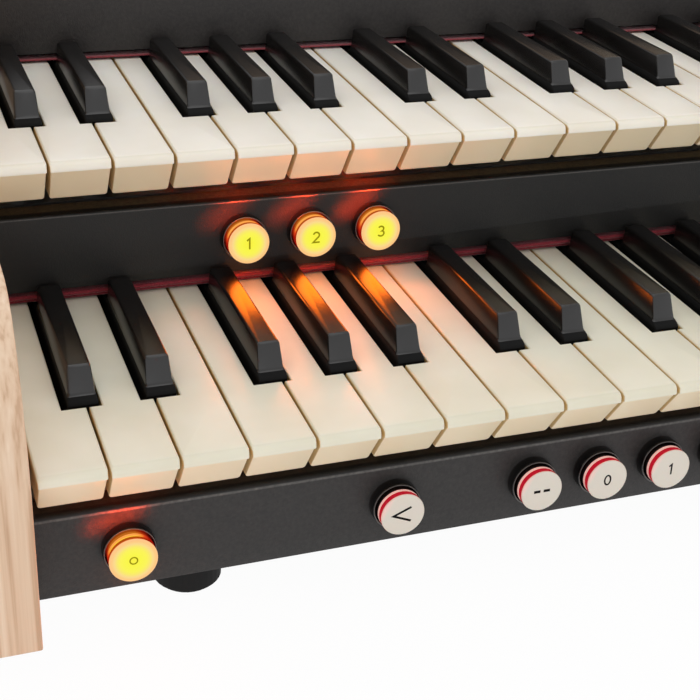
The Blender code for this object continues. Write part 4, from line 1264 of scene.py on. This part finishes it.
class ORGAN_OT_case(bpy.types.Operator):
    """Make the oak cheeks and the music desk with rounded edges"""

    bl_idname = "organ.case"
    bl_label = "Oak"

    def execute(self, context):
        for node in ("left_cheek", "right_cheek"):
            soften(node, FINISHES["oak"], 1.2 * MM, 3)
        soften("music_desk", FINISHES["oak_lengthwise"], 0.8 * MM, 2)
        return {"FINISHED"}


class ORGAN_OT_shell(bpy.types.Operator):
    """Make the back panel, the top cover, the grilles and the sockets"""

    bl_idname = "organ.shell"
    bl_label = "Back and top"

    def execute(self, context):
        make_shell(FINISHES)
        for side in SPEAKER_PLACES:
            make_grille(side, FINISHES)
        make_sockets(FINISHES)
        return {"FINISHED"}


class ORGAN_OT_controls(bpy.types.Operator):
    """Make the control panel, what its screen shows and the volume knob"""

    bl_idname = "organ.controls"
    bl_label = "Control panel"

    def execute(self, context):
        soften("control_panel", FINISHES["steel"], 0.6 * MM, 2)
        make_display(FINISHES)
        make_knob(FINISHES)
        return {"FINISHED"}


class ORGAN_OT_studio(bpy.types.Operator):
    """Make the floor, the light and the camera of the photograph"""

    bl_idname = "organ.studio"
    bl_label = "Studio"

    def execute(self, context):
        settings = context.scene.organ_settings
        bpy.ops.mesh.primitive_plane_add(size=8)
        floor = context.object
        floor.name = "studio_floor"
        floor.data.materials.append(floor_paint())
        make_world(context.scene, settings.fill)
        add_area("key_light", settings.key_power, (0.9, 0.5), (-0.3, -0.15, 0.75), (-0.2, -0.1, 0.1))
        add_area("front_light", settings.front_power, (1.6, 0.5), (-0.8, -1.6, 0.25), (-0.25, -0.15, 0.1))
        for node, (angle, share) in LIT.items():
            add_glow(node, angle, settings.glow, settings.leak * share)
        make_camera(context.scene)
        context.scene.view_settings.view_transform = "Standard"
        return {"FINISHED"}


def floor_paint():
    """Matt white paper: plain white to the camera, with the organ's shadow left faint on it."""
    material, shader = make_finish("white_paper", "#F2F0EE", 0.95)
    path = add_node(material, "ShaderNodeLightPath")
    mirrored = add_node(
        material, "ShaderNodeMath", {"operation": "MAXIMUM"},
        {0: path.outputs["Is Glossy Ray"], 1: path.outputs["Is Transmission Ray"]},
    )
    seen = add_node(
        material, "ShaderNodeMath", {"operation": "MAXIMUM"},
        {0: mirrored.outputs["Value"], 1: path.outputs["Is Camera Ray"]},
    )
    share = add_node(material, "ShaderNodeMapRange", {"To Max": 0.965}, {"Value": seen.outputs["Value"]})
    white = add_node(material, "ShaderNodeEmission", {"Color": (1, 1, 1, 1), "Strength": 1.0})
    mixed = add_node(material, "ShaderNodeMixShader", links={"Fac": share.outputs["Result"]})
    tree = material.node_tree
    tree.links.new(shader.outputs["BSDF"], mixed.inputs[1])
    tree.links.new(white.outputs["Emission"], mixed.inputs[2])
    tree.links.new(mixed.outputs["Shader"], tree.nodes["Material Output"].inputs["Surface"])
    return material


def make_world(scene, fill):
    """A white surround, full white to the camera and near the horizon, dimmer overhead and as a light."""
    world = bpy.data.worlds.new("studio_world")
    world.use_nodes = True
    scene.world = world
    background = world.node_tree.nodes["Background"]
    background.inputs["Color"].default_value = (1, 1, 1, 1)
    path = add_node(world, "ShaderNodeLightPath")
    way = add_node(world, "ShaderNodeTexCoord")
    axes = add_node(world, "ShaderNodeSeparateXYZ", links={"Vector": way.outputs["Generated"]})
    overhead = add_node(
        world, "ShaderNodeMapRange", {"From Min": 0.45, "From Max": 0.8, "To Min": 1.0, "To Max": 0.35},
        {"Value": axes.outputs["Z"]},
    )
    mirrored = add_node(
        world, "ShaderNodeMath", {"operation": "MAXIMUM"},
        {0: path.outputs["Is Glossy Ray"], 1: path.outputs["Is Transmission Ray"]},
    )
    seen = add_node(
        world, "ShaderNodeMath", {"operation": "MULTIPLY"},
        {0: mirrored.outputs["Value"], 1: overhead.outputs["Result"]},
    )
    white = add_node(
        world, "ShaderNodeMath", {"operation": "MAXIMUM"}, {0: seen.outputs["Value"], 1: path.outputs["Is Camera Ray"]}
    )
    level = add_node(world, "ShaderNodeMapRange", {"To Min": fill, "To Max": 1.0}, {"Value": white.outputs["Value"]})
    world.node_tree.links.new(level.outputs["Result"], background.inputs["Strength"])


def add_area(name, power, size, place, target):
    """A rectangular soft light aimed at a point."""
    lamp = bpy.data.lights.new(name, "AREA")
    lamp.shape = "RECTANGLE"
    lamp.size, lamp.size_y = size
    lamp.energy = power
    holder = bpy.data.objects.new(name, lamp)
    holder.location = place
    holder.rotation_euler = (Vector(target) - Vector(place)).to_track_quat("-Z", "Y").to_euler()
    bpy.context.scene.collection.objects.link(holder)


def add_glow(node, angle, glow, leak):
    """What a lit piston sends out: amber light from its face and its side, and red past its collar."""
    manual = MANUALS.index(node.split("_")[0])
    matrix = piston_matrix(manual, (LOWER_PISTONS, UPPER_PISTONS)[manual][node.split("_")[-1]])
    back = Matrix.Rotation(math.radians(angle - 90), 4, "Z") @ Matrix.Translation((0, 12.4 * MM, 6.2 * MM))
    front = Matrix.Translation((0, 0, PISTON_FRONT + 0.3 * MM)) @ FACE_TURN
    lamps = (
        ("face", "DISK", (2.3 * PISTON_RADIUS, 0), "#FF6C0F", glow, front),
        ("side", "", (5 * MM, 0), "#FF8420", glow / 2.2, Matrix.Translation((0, -11 * MM, 7 * MM))),
        ("top", "", (6 * MM, 0), "#FF8030", glow / 5, Matrix.Translation((0, 12 * MM, 9 * MM))),
        ("leak", "ELLIPSE", (21 * MM, 4 * MM), "#FF3E08", leak, back),
    )
    for name, shape, size, colour, power, place in lamps:
        lamp = bpy.data.lights.new(f"{node}_{name}", "AREA" if shape else "POINT")
        lamp.color = linear(colour)[:3]
        lamp.energy = power
        if shape:
            lamp.shape = shape
            lamp.size = size[0]
        else:
            lamp.shadow_soft_size = size[0] / 2
        if shape == "ELLIPSE":
            lamp.size_y = size[1]
            lamp.spread = math.radians(100)
        holder = bpy.data.objects.new(lamp.name, lamp)
        holder.matrix_world = matrix @ place
        holder.visible_camera = False
        holder.visible_glossy = name == "face"
        bpy.context.scene.collection.objects.link(holder)


def make_camera(scene):
    """The camera that the photograph was taken with, as fitted to the edges of the keys."""
    yaw, pitch, roll = (math.radians(v) for v in (CAMERA_YAW, CAMERA_PITCH, CAMERA_ROLL))
    ahead = Vector((math.sin(yaw) * math.cos(pitch), math.cos(yaw) * math.cos(pitch), -math.sin(pitch)))
    right = Vector((math.cos(yaw), -math.sin(yaw), 0))
    down = ahead.cross(right)
    side = right * math.cos(roll) + down * math.sin(roll)
    below = down * math.cos(roll) - right * math.sin(roll)
    data = bpy.data.cameras.new("photo_camera")
    data.sensor_width = 36
    data.lens = CAMERA_LENS
    data.clip_start = 0.01
    camera = bpy.data.objects.new("photo_camera", data)
    turn = Matrix((side, -below, -ahead)).transposed().to_4x4()
    camera.matrix_world = Matrix.Translation(CAMERA_PLACE) @ turn
    scene.collection.objects.link(camera)
    scene.camera = camera


class ORGAN_PT_panel(bpy.types.Panel):
    """Buttons for each group of pieces"""

    bl_idname = "ORGAN_PT_panel"
    bl_label = "Electronic organ"
    bl_space_type = "VIEW_3D"
    bl_region_type = "UI"
    bl_category = "Organ"

    def draw(self, context):
        for operator in STEPS:
            self.layout.operator(operator.bl_idname)
        for setting in ("key_power", "front_power", "fill", "glow", "leak"):
            self.layout.prop(context.scene.organ_settings, setting)


STEPS = (
    ORGAN_OT_studio, ORGAN_OT_finishes, ORGAN_OT_keys, ORGAN_OT_slips, ORGAN_OT_pistons, ORGAN_OT_case,
    ORGAN_OT_shell, ORGAN_OT_controls,
)
CLASSES = (OrganSettings, *STEPS, ORGAN_PT_panel)


def register():
    for each in CLASSES:
        bpy.utils.register_class(each)
    bpy.types.Scene.organ_settings = bpy.props.PointerProperty(type=OrganSettings)


def unregister():
    del bpy.types.Scene.organ_settings
    for each in reversed(CLASSES):
        bpy.utils.unregister_class(each)


def main():
    """Makes every piece in order."""
    register()
    for operator in STEPS:
        getattr(bpy.ops.organ, operator.bl_idname.split(".")[1])()


if __name__ == "__main__":
    main()
